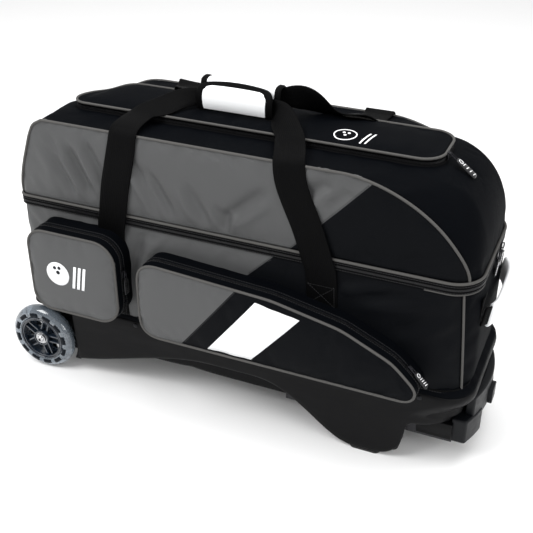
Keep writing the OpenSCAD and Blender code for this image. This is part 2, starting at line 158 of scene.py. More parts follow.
# ---------------------------------------------------------------- material nodes
def feed(node, key, value):
    """Sets an input of a shader node to a number or a tuple, or links another node's output to it."""
    socket = node.inputs[key]
    if isinstance(value, bpy.types.NodeSocket):
        node.id_data.links.new(value, socket)
    elif isinstance(value, tuple):
        socket.default_value = (*value, 1)[:len(socket.default_value)]
    else:
        socket.default_value = value


def node_of(tree, kind, **inputs):
    """A new shader node; an input's name is written with _ for each space."""
    node = tree.nodes.new("ShaderNode" + kind)
    for key, value in inputs.items():
        feed(node, key.replace("_", " "), value)
    return node


def shader_of(name, **inputs):
    """A new material, its node tree and its shader."""
    material = bpy.data.materials.new(name)
    material.use_nodes = True
    shader = material.node_tree.nodes["Principled BSDF"]
    for key, value in inputs.items():
        feed(shader, key.replace("_", " "), value)
    return material, material.node_tree, shader


def coords(tree, kind):
    return node_of(tree, "TexCoord").outputs[kind]


def noise(tree, kind, scale, detail=3, stretch=None):
    """Noise in metres: scale is features per metre."""
    source = coords(tree, kind)
    if stretch:
        source = node_of(tree, "Mapping", Scale=stretch, Vector=source).outputs["Vector"]
    return node_of(tree, "TexNoise", Scale=scale, Detail=detail, Vector=source).outputs["Fac"]


WAVE_UNIT = math.pi / 10  # the period in metres of a Blender wave texture at scale 1


def ribs(tree, axis, period, distortion=0.0):
    node = node_of(tree, "TexWave", Scale=WAVE_UNIT / period, Distortion=distortion, Detail=0,
                   Vector=coords(tree, "UV"))
    node.wave_type = "BANDS"
    node.bands_direction = axis
    return node.outputs["Fac"]


def math_node(tree, operation, *values):
    node = node_of(tree, "Math")
    node.operation = operation
    for key, value in enumerate(values):
        feed(node, key, value)
    return node.outputs[0]


def mix_colour(tree, factor, a, b):
    node = node_of(tree, "Mix")
    node.data_type = "RGBA"
    for key, value in (("Factor", factor), (6, a), (7, b)):
        feed(node, key, value)
    return node.outputs[2]


def ranged(tree, value, low, high, out_low=0.0, out_high=1.0):
    return node_of(tree, "MapRange", Value=value, From_Min=low, From_Max=high, To_Min=out_low,
                   To_Max=out_high).outputs["Result"]


def bumped(tree, shader, layers):
    """Stacks bump layers: (height, distance in metres, strength)."""
    previous = None
    for height, distance, strength in layers:
        node = node_of(tree, "Bump", Distance=distance, Strength=strength, Height=height)
        if previous:
            feed(node, "Normal", previous)
        previous = node.outputs["Normal"]
    feed(shader, "Normal", previous)


def beyond(tree, line):
    """1 where a point lies on the right of a leaning line in the XZ plane; line is two design points."""
    (xa, za), (xb, zb) = line
    lean = (xb - xa) / (zb - za)
    split = node_of(tree, "SeparateXYZ", Vector=coords(tree, "Object"))
    start = float((xa - za * lean) * MM + ORIGIN[0])
    edge = math_node(tree, "MULTIPLY_ADD", split.outputs["Z"], -lean, -start)
    return ranged(tree, math_node(tree, "ADD", split.outputs["X"], edge), -0.0004, 0.0004)


MATT = 0.035


def woven(name, tone, thread=0.0007, rough=0.62, weave=0.35, second=None, line=None, spread=0.16, gloss=MATT):
    """Plain-woven coated cloth in one tone, or in two tones parted by a straight seam."""
    material, tree, shader = shader_of(name)
    warp, weft = ribs(tree, "X", thread), ribs(tree, "Y", thread)
    yarn = math_node(tree, "MULTIPLY", warp, weft)
    cloud = noise(tree, "Object", 7, 4)
    fibre = noise(tree, "Object", 900, 2)
    blend = math_node(tree, "MULTIPLY", cloud, 0.6)
    blend = math_node(tree, "ADD", blend, math_node(tree, "MULTIPLY", fibre, 0.4))

    def tones(base):
        dark = tuple(c * (1 - spread) for c in base)
        light = tuple(c * (1 + spread) for c in base)
        return mix_colour(tree, blend, dark, light)

    colour = tones(tone)
    if second:
        colour = mix_colour(tree, beyond(tree, line), colour, tones(second))
    colour = mix_colour(tree, math_node(tree, "MULTIPLY", yarn, 0.25), colour, tuple(c * 0.5 for c in tone))
    feed(shader, "Base Color", colour)
    feed(shader, "Roughness", ranged(tree, cloud, 0.3, 0.7, rough - 0.05, rough + 0.07))
    sheen = ranged(tree, beyond(tree, line), 0, 1, gloss, MATT) if second else gloss
    feed(shader, "Specular IOR Level", sheen)
    pucker = noise(tree, "Object", 38, 3)
    bumped(tree, shader, [(pucker, 0.0012, 0.18), (yarn, 0.0003, weave), (fibre, 0.0002, 0.12)])
    return material


def plastic(name, tone, rough=0.42, grain=0.25, wear=0.0, coat=0.0, gloss=0.3):
    """Moulded plastic with a fine spark-eroded grain and faint scuffs."""
    material, tree, shader = shader_of(name)
    cloud = noise(tree, "Object", 5, 4)
    scuff = noise(tree, "Object", 22, 6, (1.0, 3.0, 5.0))
    marks = ranged(tree, scuff, 0.6, 0.78)
    dark, light = tuple(c * 0.88 for c in tone), tuple(c * 1.12 for c in tone)
    colour = mix_colour(tree, cloud, dark, light)
    worn = tuple(min(1.0, c * 2.2 + 0.02) for c in tone)
    colour = mix_colour(tree, math_node(tree, "MULTIPLY", marks, wear), colour, worn)
    feed(shader, "Base Color", colour)
    feed(shader, "Roughness", ranged(tree, scuff, 0.3, 0.75, rough - 0.05, rough + 0.13))
    feed(shader, "Coat Weight", coat)
    feed(shader, "Specular IOR Level", gloss)
    bumped(tree, shader, [(noise(tree, "Object", 1500, 2), 0.00012, grain), (scuff, 0.0003, 0.06)])
    return material


def metal(name, tone, rough=0.28):
    material, tree, shader = shader_of(name)
    brush = noise(tree, "Object", 160, 4, (0.15, 1.0, 1.0))
    feed(shader, "Base Color", mix_colour(tree, brush, tuple(c * 0.8 for c in tone), tone))
    feed(shader, "Metallic", 1.0)
    feed(shader, "Roughness", ranged(tree, brush, 0.3, 0.7, rough - 0.06, rough + 0.1))
    bumped(tree, shader, [(brush, 0.00008, 0.2)])
    return material


def webbing(name, tone):
    """Heavy polypropylene webbing: lengthwise ribs crossed by short picks."""
    material, tree, shader = shader_of(name)
    rib, pick = ribs(tree, "X", 0.0032, distortion=0.6), ribs(tree, "Y", 0.0016)
    cord = math_node(tree, "MULTIPLY", rib, pick)
    cloud = noise(tree, "Object", 30, 4)
    dark, light = tuple(c * 0.6 for c in tone), tuple(c * 1.6 for c in tone)
    colour = mix_colour(tree, math_node(tree, "MULTIPLY", cord, cloud), dark, light)
    feed(shader, "Base Color", colour)
    feed(shader, "Roughness", 0.55)
    feed(shader, "Specular IOR Level", 0.04)
    bumped(tree, shader, [(rib, 0.0005, 0.4), (pick, 0.0004, 0.4)])
    return material


def vinyl(name, tone):
    """Coated fabric with a fine pebbled grain."""
    material, tree, shader = shader_of(name)
    cells = node_of(tree, "TexVoronoi", Scale=700, Vector=coords(tree, "Object"))
    cloud = noise(tree, "Object", 14, 4)
    feed(shader, "Base Color", mix_colour(tree, cloud, tuple(c * 0.95 for c in tone), tone))
    feed(shader, "Roughness", ranged(tree, cloud, 0.3, 0.7, 0.36, 0.46))
    bumped(tree, shader, [(cloud, 0.0012, 0.15), (cells.outputs["Distance"], 0.0002, 0.25)])
    return material


def urethane(name):
    """Clear, slightly smoky cast polyurethane."""
    material, tree, shader = shader_of(name)
    streak = noise(tree, "Object", 15, 1)
    colour = mix_colour(tree, streak, (0.085, 0.115, 0.15), (0.38, 0.43, 0.48))
    feed(shader, "Base Color", colour)
    feed(shader, "Transmission Weight", 0.6)
    feed(shader, "IOR", 1.45)
    feed(shader, "Coat Weight", 0.7)
    feed(shader, "Coat Roughness", 0.06)
    feed(shader, "Roughness", ranged(tree, streak, 0.3, 0.7, 0.05, 0.12))
    bumped(tree, shader, [(streak, 0.0005, 0.01)])
    return material


GREY, BLACK = (0.064, 0.065, 0.066), (0.0009, 0.0013, 0.0022)
UPPER_LINE = ((481.0, 352.0), (604.0, 484.0))
LOWER_LINE = ((435.0, 314.0), (463.0, 341.0))
POCKET_LINE = ((321.0, 172.5), (416.7, 295.0))

paint = {
    "grey_fabric": woven("grey_fabric", GREY, rough=0.46, gloss=0.3),
    "black_fabric": woven("black_fabric", BLACK, thread=0.0011, rough=0.7, weave=0.5, spread=0.25),
    "upper_panel": woven("upper_panel", GREY, rough=0.46, second=BLACK, line=UPPER_LINE, gloss=0.3),
    "lower_panel": woven("lower_panel", GREY, rough=0.46, second=BLACK, line=LOWER_LINE, gloss=0.3),
    "pocket_panel": woven("pocket_panel", GREY, rough=0.46, second=BLACK, line=POCKET_LINE, gloss=0.3),
    "lining": woven("lining", (0.02, 0.021, 0.024), thread=0.0005, rough=0.5, weave=0.25),
    "webbing": webbing("webbing", (0.0020, 0.0020, 0.0022)),
    "zip_tape": woven("zip_tape", (0.0026, 0.0026, 0.0030), thread=0.0009, rough=0.6, weave=0.6),
    "piping": woven("piping", (0.080, 0.078, 0.075), thread=0.0009, rough=0.5, weave=0.4),
    "white_vinyl": vinyl("white_vinyl", (0.84, 0.85, 0.86)),
    "base_plastic": plastic("base_plastic", (0.0024, 0.0024, 0.0028), rough=0.46, wear=0.1, gloss=0.1),
    "handle_plastic": plastic("handle_plastic", (0.0030, 0.0036, 0.0048), rough=0.38, wear=0.1, gloss=0.16),
    "skid_rubber": plastic("skid_rubber", (0.02, 0.02, 0.02), rough=0.8, grain=0.5, wear=0.5),
    "zip_plastic": plastic("zip_plastic", (0.012, 0.012, 0.013), rough=0.28, grain=0.05),
    "hub_plastic": plastic("hub_plastic", (0.008, 0.014, 0.024), rough=0.22, grain=0.1, coat=0.6, gloss=0.6),
    "board": plastic("board", (0.035, 0.035, 0.037), rough=0.7, grain=0.5),
    "foam": plastic("foam", (0.030, 0.030, 0.033), rough=0.9, grain=0.8),
    "axle_steel": metal("axle_steel", (0.62, 0.62, 0.63)),
    "tube_steel": metal("tube_steel", (0.045, 0.045, 0.048), 0.42),
    "tube_aluminium": metal("tube_aluminium", (0.55, 0.56, 0.58)),
    "zip_metal": metal("zip_metal", (0.035, 0.035, 0.04), 0.3),
    "tyre_pu": urethane("tyre_pu"),
    # painted shade: near-black sheets on the tyre walls stand for the dark inside of its slots
    "tyre_slot": plastic("tyre_slot", (0.004, 0.006, 0.009), rough=0.4, wear=0.05, gloss=0.08),
    "thread": plastic("thread", (0.022, 0.022, 0.023), rough=0.6),
    "dark_thread": plastic("dark_thread", (0.014, 0.014, 0.015), rough=0.6),
    "white_thread": plastic("white_thread", (0.85, 0.85, 0.86), rough=0.5),
}


# ---------------------------------------------------------------- mesh helpers
def mesh_object(name, verts, faces, material, uvs=None, smooth=True):
    """A mesh from design millimetres. uvs is one (u, v) per face corner, in metres."""
    mesh = bpy.data.meshes.new(name)
    mesh.from_pydata([tuple(p) for p in place(verts)], [], [tuple(f) for f in faces])
    for entry in material if isinstance(material, (list, tuple)) else [material]:
        mesh.materials.append(paint[entry])
    if uvs is not None:
        layer = mesh.uv_layers.new(name="UVMap")
        layer.data.foreach_set("uv", np.asarray(uvs, np.float32).ravel())
    mesh.polygons.foreach_set("use_smooth", [smooth] * len(mesh.polygons))
    return added(name, mesh)


def lengths(points):
    """Running length along the first axis of an array of points, averaged over the second."""
    step = np.linalg.norm(np.diff(points, axis=0), axis=-1)
    step = step.mean(axis=1) if step.ndim > 1 else step
    return np.concatenate([[0.0], np.cumsum(step)])


def grid_object(name, grid, material, outward=None, wrap=False):
    """A sheet from a rows x columns array of points; outward is a point that its outside faces away from."""
    rows, cols = grid.shape[:2]
    v, u = lengths(grid), lengths(grid.transpose(1, 0, 2))
    if wrap:
        u = np.append(u, u[-1] + np.linalg.norm(grid[:, 0] - grid[:, -1], axis=-1).mean())
    faces, uvs = [], []
    for i in range(rows - 1):
        for j in range(cols if wrap else cols - 1):
            k = (j + 1) % cols
            faces.append((i * cols + j, i * cols + k, (i + 1) * cols + k, (i + 1) * cols + j))
            uvs += [(u[j], v[i]), (u[j + 1], v[i]), (u[j + 1], v[i + 1]), (u[j], v[i + 1])]
    obj = mesh_object(name, grid.reshape(-1, 3), faces, material, np.array(uvs) * MM)
    if outward is not None:
        face_away(obj, outward)
    return obj


def face_away(obj, point):
    """Flips the faces if they look towards a design point rather than away from it."""
    centre = Vector(place(point))
    facing = sum((p.center - centre).dot(p.normal) * p.area for p in obj.data.polygons)
    if facing < 0:
        obj.data.flip_normals()


def modified(obj, kind, **settings):
    """Adds a modifier and applies it at once."""
    modifier = obj.modifiers.new(kind, kind)
    for key, value in settings.items():
        setattr(modifier, key, value)
    baked = bpy.data.meshes.new_from_object(obj.evaluated_get(bpy.context.evaluated_depsgraph_get()))
    obj.modifiers.clear()
    obj.data = baked
    return obj


def thicken(obj, thickness, inner=None, refine=1):
    """Smooths a sheet, then gives it thickness on its inner side, faced with the lining."""
    if refine:
        modified(obj, "SUBSURF", levels=refine, render_levels=refine)
    if inner:
        obj.data.materials.append(paint[inner])
    modified(obj, "SOLIDIFY", thickness=thickness * MM, offset=-1, use_even_offset=False,
             material_offset=1 if inner else 0)
    return obj


def smooth_path(points, step=4.0, closed=False):
    """Catmull-Rom curve through the rows of an array, resampled at even steps of the first three columns."""
    p = np.asarray(points, float)
    if closed:
        p = np.vstack([p[-1:], p, p[:2]])
    else:
        p = np.vstack([2 * p[0] - p[1], p, 2 * p[-1] - p[-2]])
    out = []
    for a, b, c, d in zip(p[:-3], p[1:-2], p[2:-1], p[3:]):
        for t in np.linspace(0, 1, 16, endpoint=False):
            out.append(0.5 * (2 * b + (c - a) * t + (2 * a - 5 * b + 4 * c - d) * t**2
                              + (3 * b - a - 3 * c + d) * t**3))
    if not closed:
        out.append(p[-2])
    return resampled(np.array(out), step, closed)


def resampled(points, step, closed=False):
    """Even steps along a polyline."""
    p = np.vstack([points, points[:1]]) if closed else points
    s = lengths(p[:, :3])
    count = max(2, int(round(s[-1] / step)))
    at = np.linspace(0, s[-1], count + 1)
    at = at[:-1] if closed else at
    return np.stack([np.interp(at, s, p[:, k]) for k in range(p.shape[1])], axis=1)


def unit(v):
    v = np.asarray(v, float)
    return v / np.maximum(np.linalg.norm(v, axis=-1, keepdims=True), 1e-12)


def tangents(path, closed=False):
    if closed:
        return unit(np.roll(path, -1, 0) - np.roll(path, 1, 0))
    return unit(np.gradient(path, axis=0))


def sweep(name, path, sides, section, material, closed=False, spread=None):
    """Sweeps a closed section, in (side, normal) millimetres, along a path. spread scales its width."""
    path = np.asarray(path, float)
    along = tangents(path, closed)
    sides = unit(sides - (sides * along).sum(1, keepdims=True) * along)
    normals = np.cross(along, sides)
    section = np.asarray(section, float)
    n, m = len(path), len(section)
    spread = np.ones(n) if spread is None else spread
    rings = (path[:, None] + section[None, :, :1] * (sides * spread[:, None])[:, None]
             + section[None, :, 1:] * normals[:, None])
    edge, length = lengths(np.vstack([section, section[:1]])), lengths(np.vstack([path, path[:1]]))
    faces, uvs = [], []
    for i in range(n if closed else n - 1):
        for j in range(m):
            k, q = (j + 1) % m, (i + 1) % n
            faces.append((i * m + j, i * m + k, q * m + k, q * m + j))
            uvs += [(edge[j], length[i]), (edge[j + 1], length[i]),
                    (edge[j + 1], length[i + 1]), (edge[j], length[i + 1])]
    if not closed:
        faces += [tuple(reversed(range(m))), tuple(range((n - 1) * m, n * m))]
        uvs += [(0, 0)] * (2 * m)
    return mesh_object(name, rings.reshape(-1, 3), faces, material, np.array(uvs) * MM)


def turn(count):
    """Evenly spaced angles of one full turn."""
    return np.linspace(0, 2 * math.pi, count, endpoint=False)


def circle_section(radius, sides=8):
    return [(radius * math.cos(a), radius * math.sin(a)) for a in turn(sides)]


def same(vector, count):
    """The same direction at each of count stations."""
    return np.tile(np.array(vector, float), (count, 1))


def loft_faces(count, rings):
    """Faces between rings of count points each, then a cap on the last ring and one on the first."""
    faces = []
    for k in range(rings - 1):
        low, high = k * count, (k + 1) * count
        faces += [(low + i, low + (i + 1) % count, high + (i + 1) % count, high + i) for i in range(count)]
    return faces + [tuple(range((rings - 1) * count, rings * count)), tuple(reversed(range(count)))]


def flat_section(width, thick, lanes=6):
    """Webbing in section: flat, with rounded selvedges."""
    half, t = width / 2, thick / 2
    top = [(x, t) for x in np.linspace(-half + t, half - t, lanes)]
    return top + [(half, t * 0.4), (half, -t * 0.4)] + [(x, -y) for x, y in reversed(top)] + \
        [(-half, -t * 0.4), (-half, t * 0.4)]


def transported(path, closed=False):
    """Side directions carried along a path without twist."""
    along = tangents(path, closed)
    start = np.cross(along[0], [0.3, 0.5, 0.8])
    out = [unit(start)]
    for t in along[1:]:
        out.append(unit(out[-1] - np.dot(out[-1], t) * t))
    return np.array(out)


def piping(name, path, radius=2.1, closed=False, material="piping"):
    """A corded seam."""
    return sweep(name, path, transported(path, closed), circle_section(radius), material, closed)


def ribbon(name, stations, width, thick=2.4, step=5.0):
    """Webbing through stations of (x, y, z, width direction x, y, z, share of the width)."""
    path = smooth_path(np.array(stations, float), step)
    spread = path[:, 6] if path.shape[1] > 6 else None
    return sweep(name, path[:, :3], path[:, 3:6], flat_section(width, thick), "webbing", spread=spread)


BRICK = np.array([(a, b, c) for a in (-1, 1) for b in (-1, 1) for c in (-1, 1)]) / 2
BRICK_FACES = [(0, 1, 3, 2), (4, 6, 7, 5), (0, 4, 5, 1), (2, 3, 7, 6), (0, 2, 6, 4), (1, 5, 7, 3)]
BRICK_TAPER = 0.75


def bricks(name, centres, axes, size, material):
    """Many small blocks with tapering tops. axes holds three directions for each, size its measures."""
    verts, faces = [], []
    for c, frame_axes in zip(centres, axes):
        corners = BRICK * size
        corners[BRICK[:, 1] > 0] *= (BRICK_TAPER, 1, BRICK_TAPER)
        base = len(verts)
        verts += list(c + corners @ np.array(frame_axes))
        faces += [tuple(base + k for k in f) for f in BRICK_FACES]
    return mesh_object(name, np.array(verts), faces, material, smooth=False)


UP = (0.0, 0.0, 1.0)
TOOTH_PITCH, HALF_PITCH = 2.4, 1.2
STITCH_PITCH, STITCH_LENGTH, STITCH_THICK = 4.2, 2.9, 0.84


def zip_teeth(name, path, outward, up, closed=False, size=(1.5, 2.2, 2.6), shift=0.0):
    """One row of coil teeth along a path, standing out from it."""
    stations = resampled(np.hstack([path, outward, up]), TOOTH_PITCH, closed)
    along = tangents(stations[:, :3], closed)
    stations[:, :3] += along * shift
    axes = [(t, unit(o), unit(u)) for t, o, u in zip(along, stations[:, 3:6], stations[:, 6:])]
    return bricks(name, stations[:, :3], axes, np.array(size), "zip_plastic")


def stitch_row(name, path, lift, material="thread", closed=False):
    """Top-stitching: short threads along a path, raised along lift."""
    stations = resampled(np.hstack([path, lift]), STITCH_PITCH, closed)
    along = tangents(stations[:, :3], closed)
    up = unit(stations[:, 3:])
    centres = stations[:, :3] + up * 0.15
    axes = [(t, u, np.cross(t, u)) for t, u in zip(along, up)]
    return bricks(name, centres, axes, np.array([STITCH_LENGTH, STITCH_THICK, STITCH_THICK]), material)


def joined(name, objects):
    """Joins objects into one piece."""
    mesh = bmesh.new()
    materials = []
    for obj in objects:
        for entry in obj.data.materials:
            if entry not in materials:
                materials.append(entry)
    mesh.loops.layers.uv.new("UVMap")
    for obj in objects:
        start = len(mesh.faces)
        mesh.from_mesh(obj.data)
        mesh.faces.ensure_lookup_table()
        local = list(obj.data.materials)
        for face in mesh.faces[start:]:
            face.material_index = materials.index(local[face.material_index])
        bpy.data.objects.remove(obj)
    out = bpy.data.meshes.new(name)
    mesh.to_mesh(out)
    mesh.free()
    for entry in materials:
        out.materials.append(entry)
    return added(name, out)


def softened(node, radius, segments=2):
    """A copy of a CAD node with its edges rounded over, which stands for it."""
    mesh = bmesh.new()
    mesh.from_mesh(nodes[node].data)
    bmesh.ops.remove_doubles(mesh, verts=mesh.verts, dist=1e-5)
    bmesh.ops.dissolve_limit(mesh, angle_limit=0.02, verts=mesh.verts, edges=mesh.edges)
    out = bpy.data.meshes.new(node + "_soft")
    mesh.to_mesh(out)
    mesh.free()
    obj = added(node + "_soft", out)
    out.materials.clear()
    out.materials.append(paint[slot_of[node]])
    modified(obj, "BEVEL", width=radius * MM, segments=segments, limit_method="ANGLE", angle_limit=0.6)
    for polygon in obj.data.polygons:
        polygon.use_smooth = True
    modified(obj, "WEIGHTED_NORMAL", keep_sharp=False)
    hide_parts(node)
    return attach(obj, body_of[node])


body_of = {n: b for b, members in frame["record"]["behaviour"]["bodies"].items() for n in members}
slot_of = {p["node"]: p["material_slot"] for p in frame["record"]["subparts"]}


def dress(obj, body, slot, *replaced):
    """Rides on a body, and stands for CAD nodes. The slot argument is not used."""
    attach(obj, body)
    if replaced:
        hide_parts(*replaced)
    return obj


CLOTH_FRAMES = 26


def puff(obj, border, pressure=3.0, slack=0.02, cap=6.0):
    """Cloth simulation of a sewn panel: its border is held, the cloth is cut too large and pushed out.
    The move of each point is capped, and the result is written back to the mesh."""
    held = obj.vertex_groups.new(name="held")
    held.add([int(i) for i in border], 1.0, "ADD")
    rest = np.zeros(len(obj.data.vertices) * 3, np.float32)
    obj.data.vertices.foreach_get("co", rest)
    rest = rest.reshape(-1, 3).astype(float)
    modifier = obj.modifiers.new("cloth", "CLOTH")
    cloth = modifier.settings
    cloth.quality = 6
    cloth.mass = 0.2
    cloth.tension_stiffness = cloth.compression_stiffness = 18
    cloth.shear_stiffness = 8
    cloth.bending_stiffness = 0.8
    cloth.vertex_group_mass = "held"
    cloth.shrink_min = -slack
    cloth.use_pressure = True
    cloth.uniform_pressure_force = pressure
    cloth.effector_weights.gravity = 0
    modifier.point_cache.frame_start, modifier.point_cache.frame_end = 1, CLOTH_FRAMES
    for step in range(1, CLOTH_FRAMES + 1):
        bpy.context.scene.frame_set(step)
    result = obj.evaluated_get(bpy.context.evaluated_depsgraph_get())
    moved = np.array([v.co for v in result.data.vertices], float)
    obj.modifiers.clear()
    bpy.context.scene.frame_set(1)
    shift = moved - rest
    size = np.linalg.norm(shift, axis=1, keepdims=True)
    limit = cap * MM
    shift *= np.where(size > 1e-9, limit * np.tanh(size / limit) / np.maximum(size, 1e-9), 0)
    obj.data.vertices.foreach_set("co", (rest + shift).astype(np.float32).ravel())
    obj.vertex_groups.clear()
    obj.data.update()
    return obj


def border_of(rows, cols):
    ends = (0, rows - 1), (0, cols - 1)
    return [i * cols + j for i in range(rows) for j in range(cols) if i in ends[0] or j in ends[1]]


# ---------------------------------------------------------------- outlines in plan
def rounded(x0, x1, half, r0, r1, step=6.0):
    """Closed plan outline from the left end of the front side, by the front, the handle end and the back."""
    def arc(cx, cy, r, a0, a1):
        n = max(3, int(abs(a1 - a0) * r / step))
        return [(cx + r * math.cos(a), cy + r * math.sin(a)) for a in np.linspace(a0, a1, n, endpoint=False)]

    def line(a, b):
        n = max(2, int(math.dist(a, b) / step))
        return [tuple(np.add(a, np.subtract(b, a) * t)) for t in np.linspace(0, 1, n, endpoint=False)]

    q = math.pi / 2
    return np.array(
        line((x0 + r0, -half), (x1 - r1, -half)) + arc(x1 - r1, r1 - half, r1, -q, 0)
        + line((x1, r1 - half), (x1, half - r1)) + arc(x1 - r1, half - r1, r1, 0, q)
        + line((x1 - r1, half), (x0 + r0, half)) + arc(x0 + r0, half - r0, r0, q, 2 * q)
        + line((x0, half - r0), (x0, r0 - half)) + arc(x0 + r0, r0 - half, r0, 2 * q, 3 * q))


class Loop:
    """A closed plan outline, read by arc length from the start of its front side."""

    def __init__(self, points):
        self.points = points
        closed = np.vstack([points, points[:1]])
        self.s = lengths(closed)
        self.closed, self.total = closed, self.s[-1]
        along = unit(np.roll(points, -1, 0) - np.roll(points, 1, 0))
        normal = np.stack([along[:, 1], -along[:, 0]], axis=1)
        self.normals = np.vstack([normal, normal[:1]])

    def at(self, s):
        s = np.mod(s, self.total)
        return np.stack([np.interp(s, self.s, self.closed[:, k]) for k in (0, 1)], axis=-1)

    def normal(self, s):
        s = np.mod(s, self.total)
        return unit(np.stack([np.interp(s, self.s, self.normals[:, k]) for k in (0, 1)], axis=-1))

    def near(self, x, y):
        """Arc length of the outline's point nearest to (x, y)."""
        return self.s[np.argmin(np.linalg.norm(self.points - np.array([x, y]), axis=1))]


body_loop = Loop(rounded(BODY_X0, BODY_X1, BODY_Y, BODY_R0, BODY_R1, 2.0))


def half_width(x):
    """Half the body's width at x, with its rounded corners."""
    x = np.asarray(x, float)
    left = BODY_Y - BODY_R0 + np.sqrt(np.maximum(BODY_R0**2 - np.maximum(BODY_X0 + BODY_R0 - x, 0) ** 2, 0))
    right = BODY_Y - BODY_R1 + np.sqrt(np.maximum(BODY_R1**2 - np.maximum(x - BODY_X1 + BODY_R1, 0) ** 2, 0))
    return np.minimum(left, right)


def ease(t):
    t = np.clip(t, 0, 1)
    return t * t * (3 - 2 * t)


# ---------------------------------------------------------------- lower fabric body
SEAM_RIGHT_TOP, SEAM_RIGHT_LOW = 751.0, 764.0
SEAM_LEFT = 0.0
LOWER_FOOT = body_lo[2] - 4


def seam_s(x, side):
    """Arc length where a corner seam at x crosses the body outline, on the front (-1) or back (1) side."""
    return body_loop.near(x, side * float(half_width(x)))


def wall_grid(s0, s1, z0, z1, cols, rows, inset=PANEL_IN):
    """Points on the body outline between two seams; s0 and s1 are (arc length low, arc length high)."""
    grid = np.zeros((rows, cols, 3))
    for i, f in enumerate(np.linspace(0, 1, rows)):
        s = np.linspace(s0[0] + (s0[1] - s0[0]) * f, s1[0] + (s1[1] - s1[0]) * f, cols)
        xy = body_loop.at(s) - body_loop.normal(s) * inset
        grid[i, :, :2] = xy
        grid[i, :, 2] = z0 + (z1 - z0) * f
    return grid


CREASE = 3.6


def crowned(grid, normals, height, creases=()):
    """Pushes a sewn panel out between its seams, and dents it along creases. normals is one direction for
    each point, or one for all."""
    rows, cols = grid.shape[:2]
    v, u = np.linspace(0, 1, rows)[:, None], np.linspace(0, 1, cols)[None, :]
    swell = np.power(np.maximum(16 * u * (1 - u) * v * (1 - v), 0), 0.45) * height
    fade = np.minimum(1, 6 * np.minimum(np.minimum(u, 1 - u), np.minimum(v, 1 - v)) + 0.1)
    for (xa, za), (xb, zb), depth, width in creases:
        a, d = np.array([xa, za]), np.array([xb - xa, zb - za])
        rel = grid[..., [0, 2]] - a
        t = (rel @ d) / (d @ d)
        across = (rel[..., 0] * d[1] - rel[..., 1] * d[0]) / np.linalg.norm(d)
        reach = np.exp(-np.power(np.maximum(np.abs(t - 0.5) - 0.25, 0) / 0.22, 2))
        fold = np.exp(-(across / width) ** 2) - 0.6 * np.exp(-((across - 1.7 * width) / width) ** 2)
        swell = swell - CREASE * depth * fold * reach * fade
    return grid + np.asarray(normals, float) * swell[..., None]


def plan_normals(grid):
    """Outward directions of a wall grid, in plan."""
    n = np.zeros_like(grid)
    s = np.array([[body_loop.near(x, y) for x, y in grid[0, :, :2]]])
    n[..., :2] = body_loop.normal(s)[0][None, :, :]
    return n


LOWER_CREASES = (
    ((215, 318), (246, 330), 2.2, 7), ((206, 250), (226, 325), 2.4, 8), ((228, 300), (262, 336), 1.8, 6),
    ((560, 320), (640, 338), 2.6, 9), ((600, 300), (700, 322), 2.0, 10), ((655, 250), (735, 300), 2.0, 11),
    ((0, 325), (30, 290), 2.0, 8), ((8, 338), (42, 318), 1.6, 6),
)


def lower_walls():
    """The four sewn walls of the ball compartment, with their corner piping and the binding at the rim."""
    left = {s: seam_s(SEAM_LEFT, s) for s in (-1, 1)}
    top = {s: seam_s(SEAM_RIGHT_TOP, s) for s in (-1, 1)}
    low = {s: seam_s(SEAM_RIGHT_LOW, s) for s in (-1, 1)}
    whole = body_loop.total
    front, rear = (low[-1], top[-1]), (low[1], top[1])
    spans = {
        "lower_front_panel": ((left[-1] - whole,) * 2, front, "lower_panel", 104, LOWER_CREASES),
        "lower_right_end": (front, rear, "black_fabric", 34, ()),
        "lower_back_panel": (rear, (left[1],) * 2, "lower_panel", 104, ()),
        "lower_left_end": ((left[1],) * 2, (left[-1],) * 2, "grey_fabric", 30, ()),
    }
    rows = 26
    made = {}
    for name, (s0, s1, cloth, cols, creases) in spans.items():
        grid = wall_grid(s0, s1, LOWER_FOOT, BAND_LOW + 1, cols, rows)
        grid = crowned(grid, plan_normals(grid), 4.0, creases)
        wall = grid_object(name, grid, cloth, outward=core(250))
        puff(wall, border_of(rows, cols), pressure=2.5, slack=0.012, cap=3.5)
        made[name] = thicken(wall, 2.6, "lining")
        dress(wall, "base", "grey_fabric" if "end" not in name or "left" in name else "black_fabric")
    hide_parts("lower_body")
    for side, name in ((-1, "front"), (1, "rear")):
        seam = (low[side], top[side])
        column = wall_grid(seam, seam, rim_hi[2] + 1, BAND_LOW, 1, 16, -0.2)[:, 0]
        dress(piping(f"lower_corner_piping_{name}", column, 1.9), "base", "piping")
    foot = loop_path(body_loop, rim_hi[2] + 5.0, 0.6)
    binding = sweep("rim_binding", foot, same(UP, len(foot)), flat_section(13, 1.6), "webbing", closed=True)
    dress(binding, "base", "webbing")
    seam = loop_path(body_loop, rim_hi[2] + 7.5, 1.6)
    out = loop_normals(body_loop, len(seam))
    dress(stitch_row("rim_stitching", seam, out, closed=True, material="dark_thread"), "base", "webbing")
    return made


def at_height(xy, z):
    return np.column_stack([xy, np.full(len(xy), float(z))])


def loop_path(loop, z, out, step=5.0):
    """The whole outline as a path at height z, moved outwards."""
    s = np.linspace(0, loop.total, int(loop.total / step), endpoint=False)
    return at_height(loop.at(s) + loop.normal(s) * out, z)


def loop_normals(loop, count):
    """The outward directions that go with a loop_path() of count points."""
    return at_height(loop.normal(np.linspace(0, loop.total, count, endpoint=False)), 0)


# ---------------------------------------------------------------- main zipper
HINGE_X0, HINGE_X1 = BODY_X0 + 60, BODY_X1 - 70


def band_span():
    """Arc lengths of the zipped stretch: from the back at the wheels, by the front, to the back again."""
    start = body_loop.near(HINGE_X1, BODY_Y)
    end = body_loop.near(HINGE_X0, BODY_Y)
    return end - body_loop.total, start


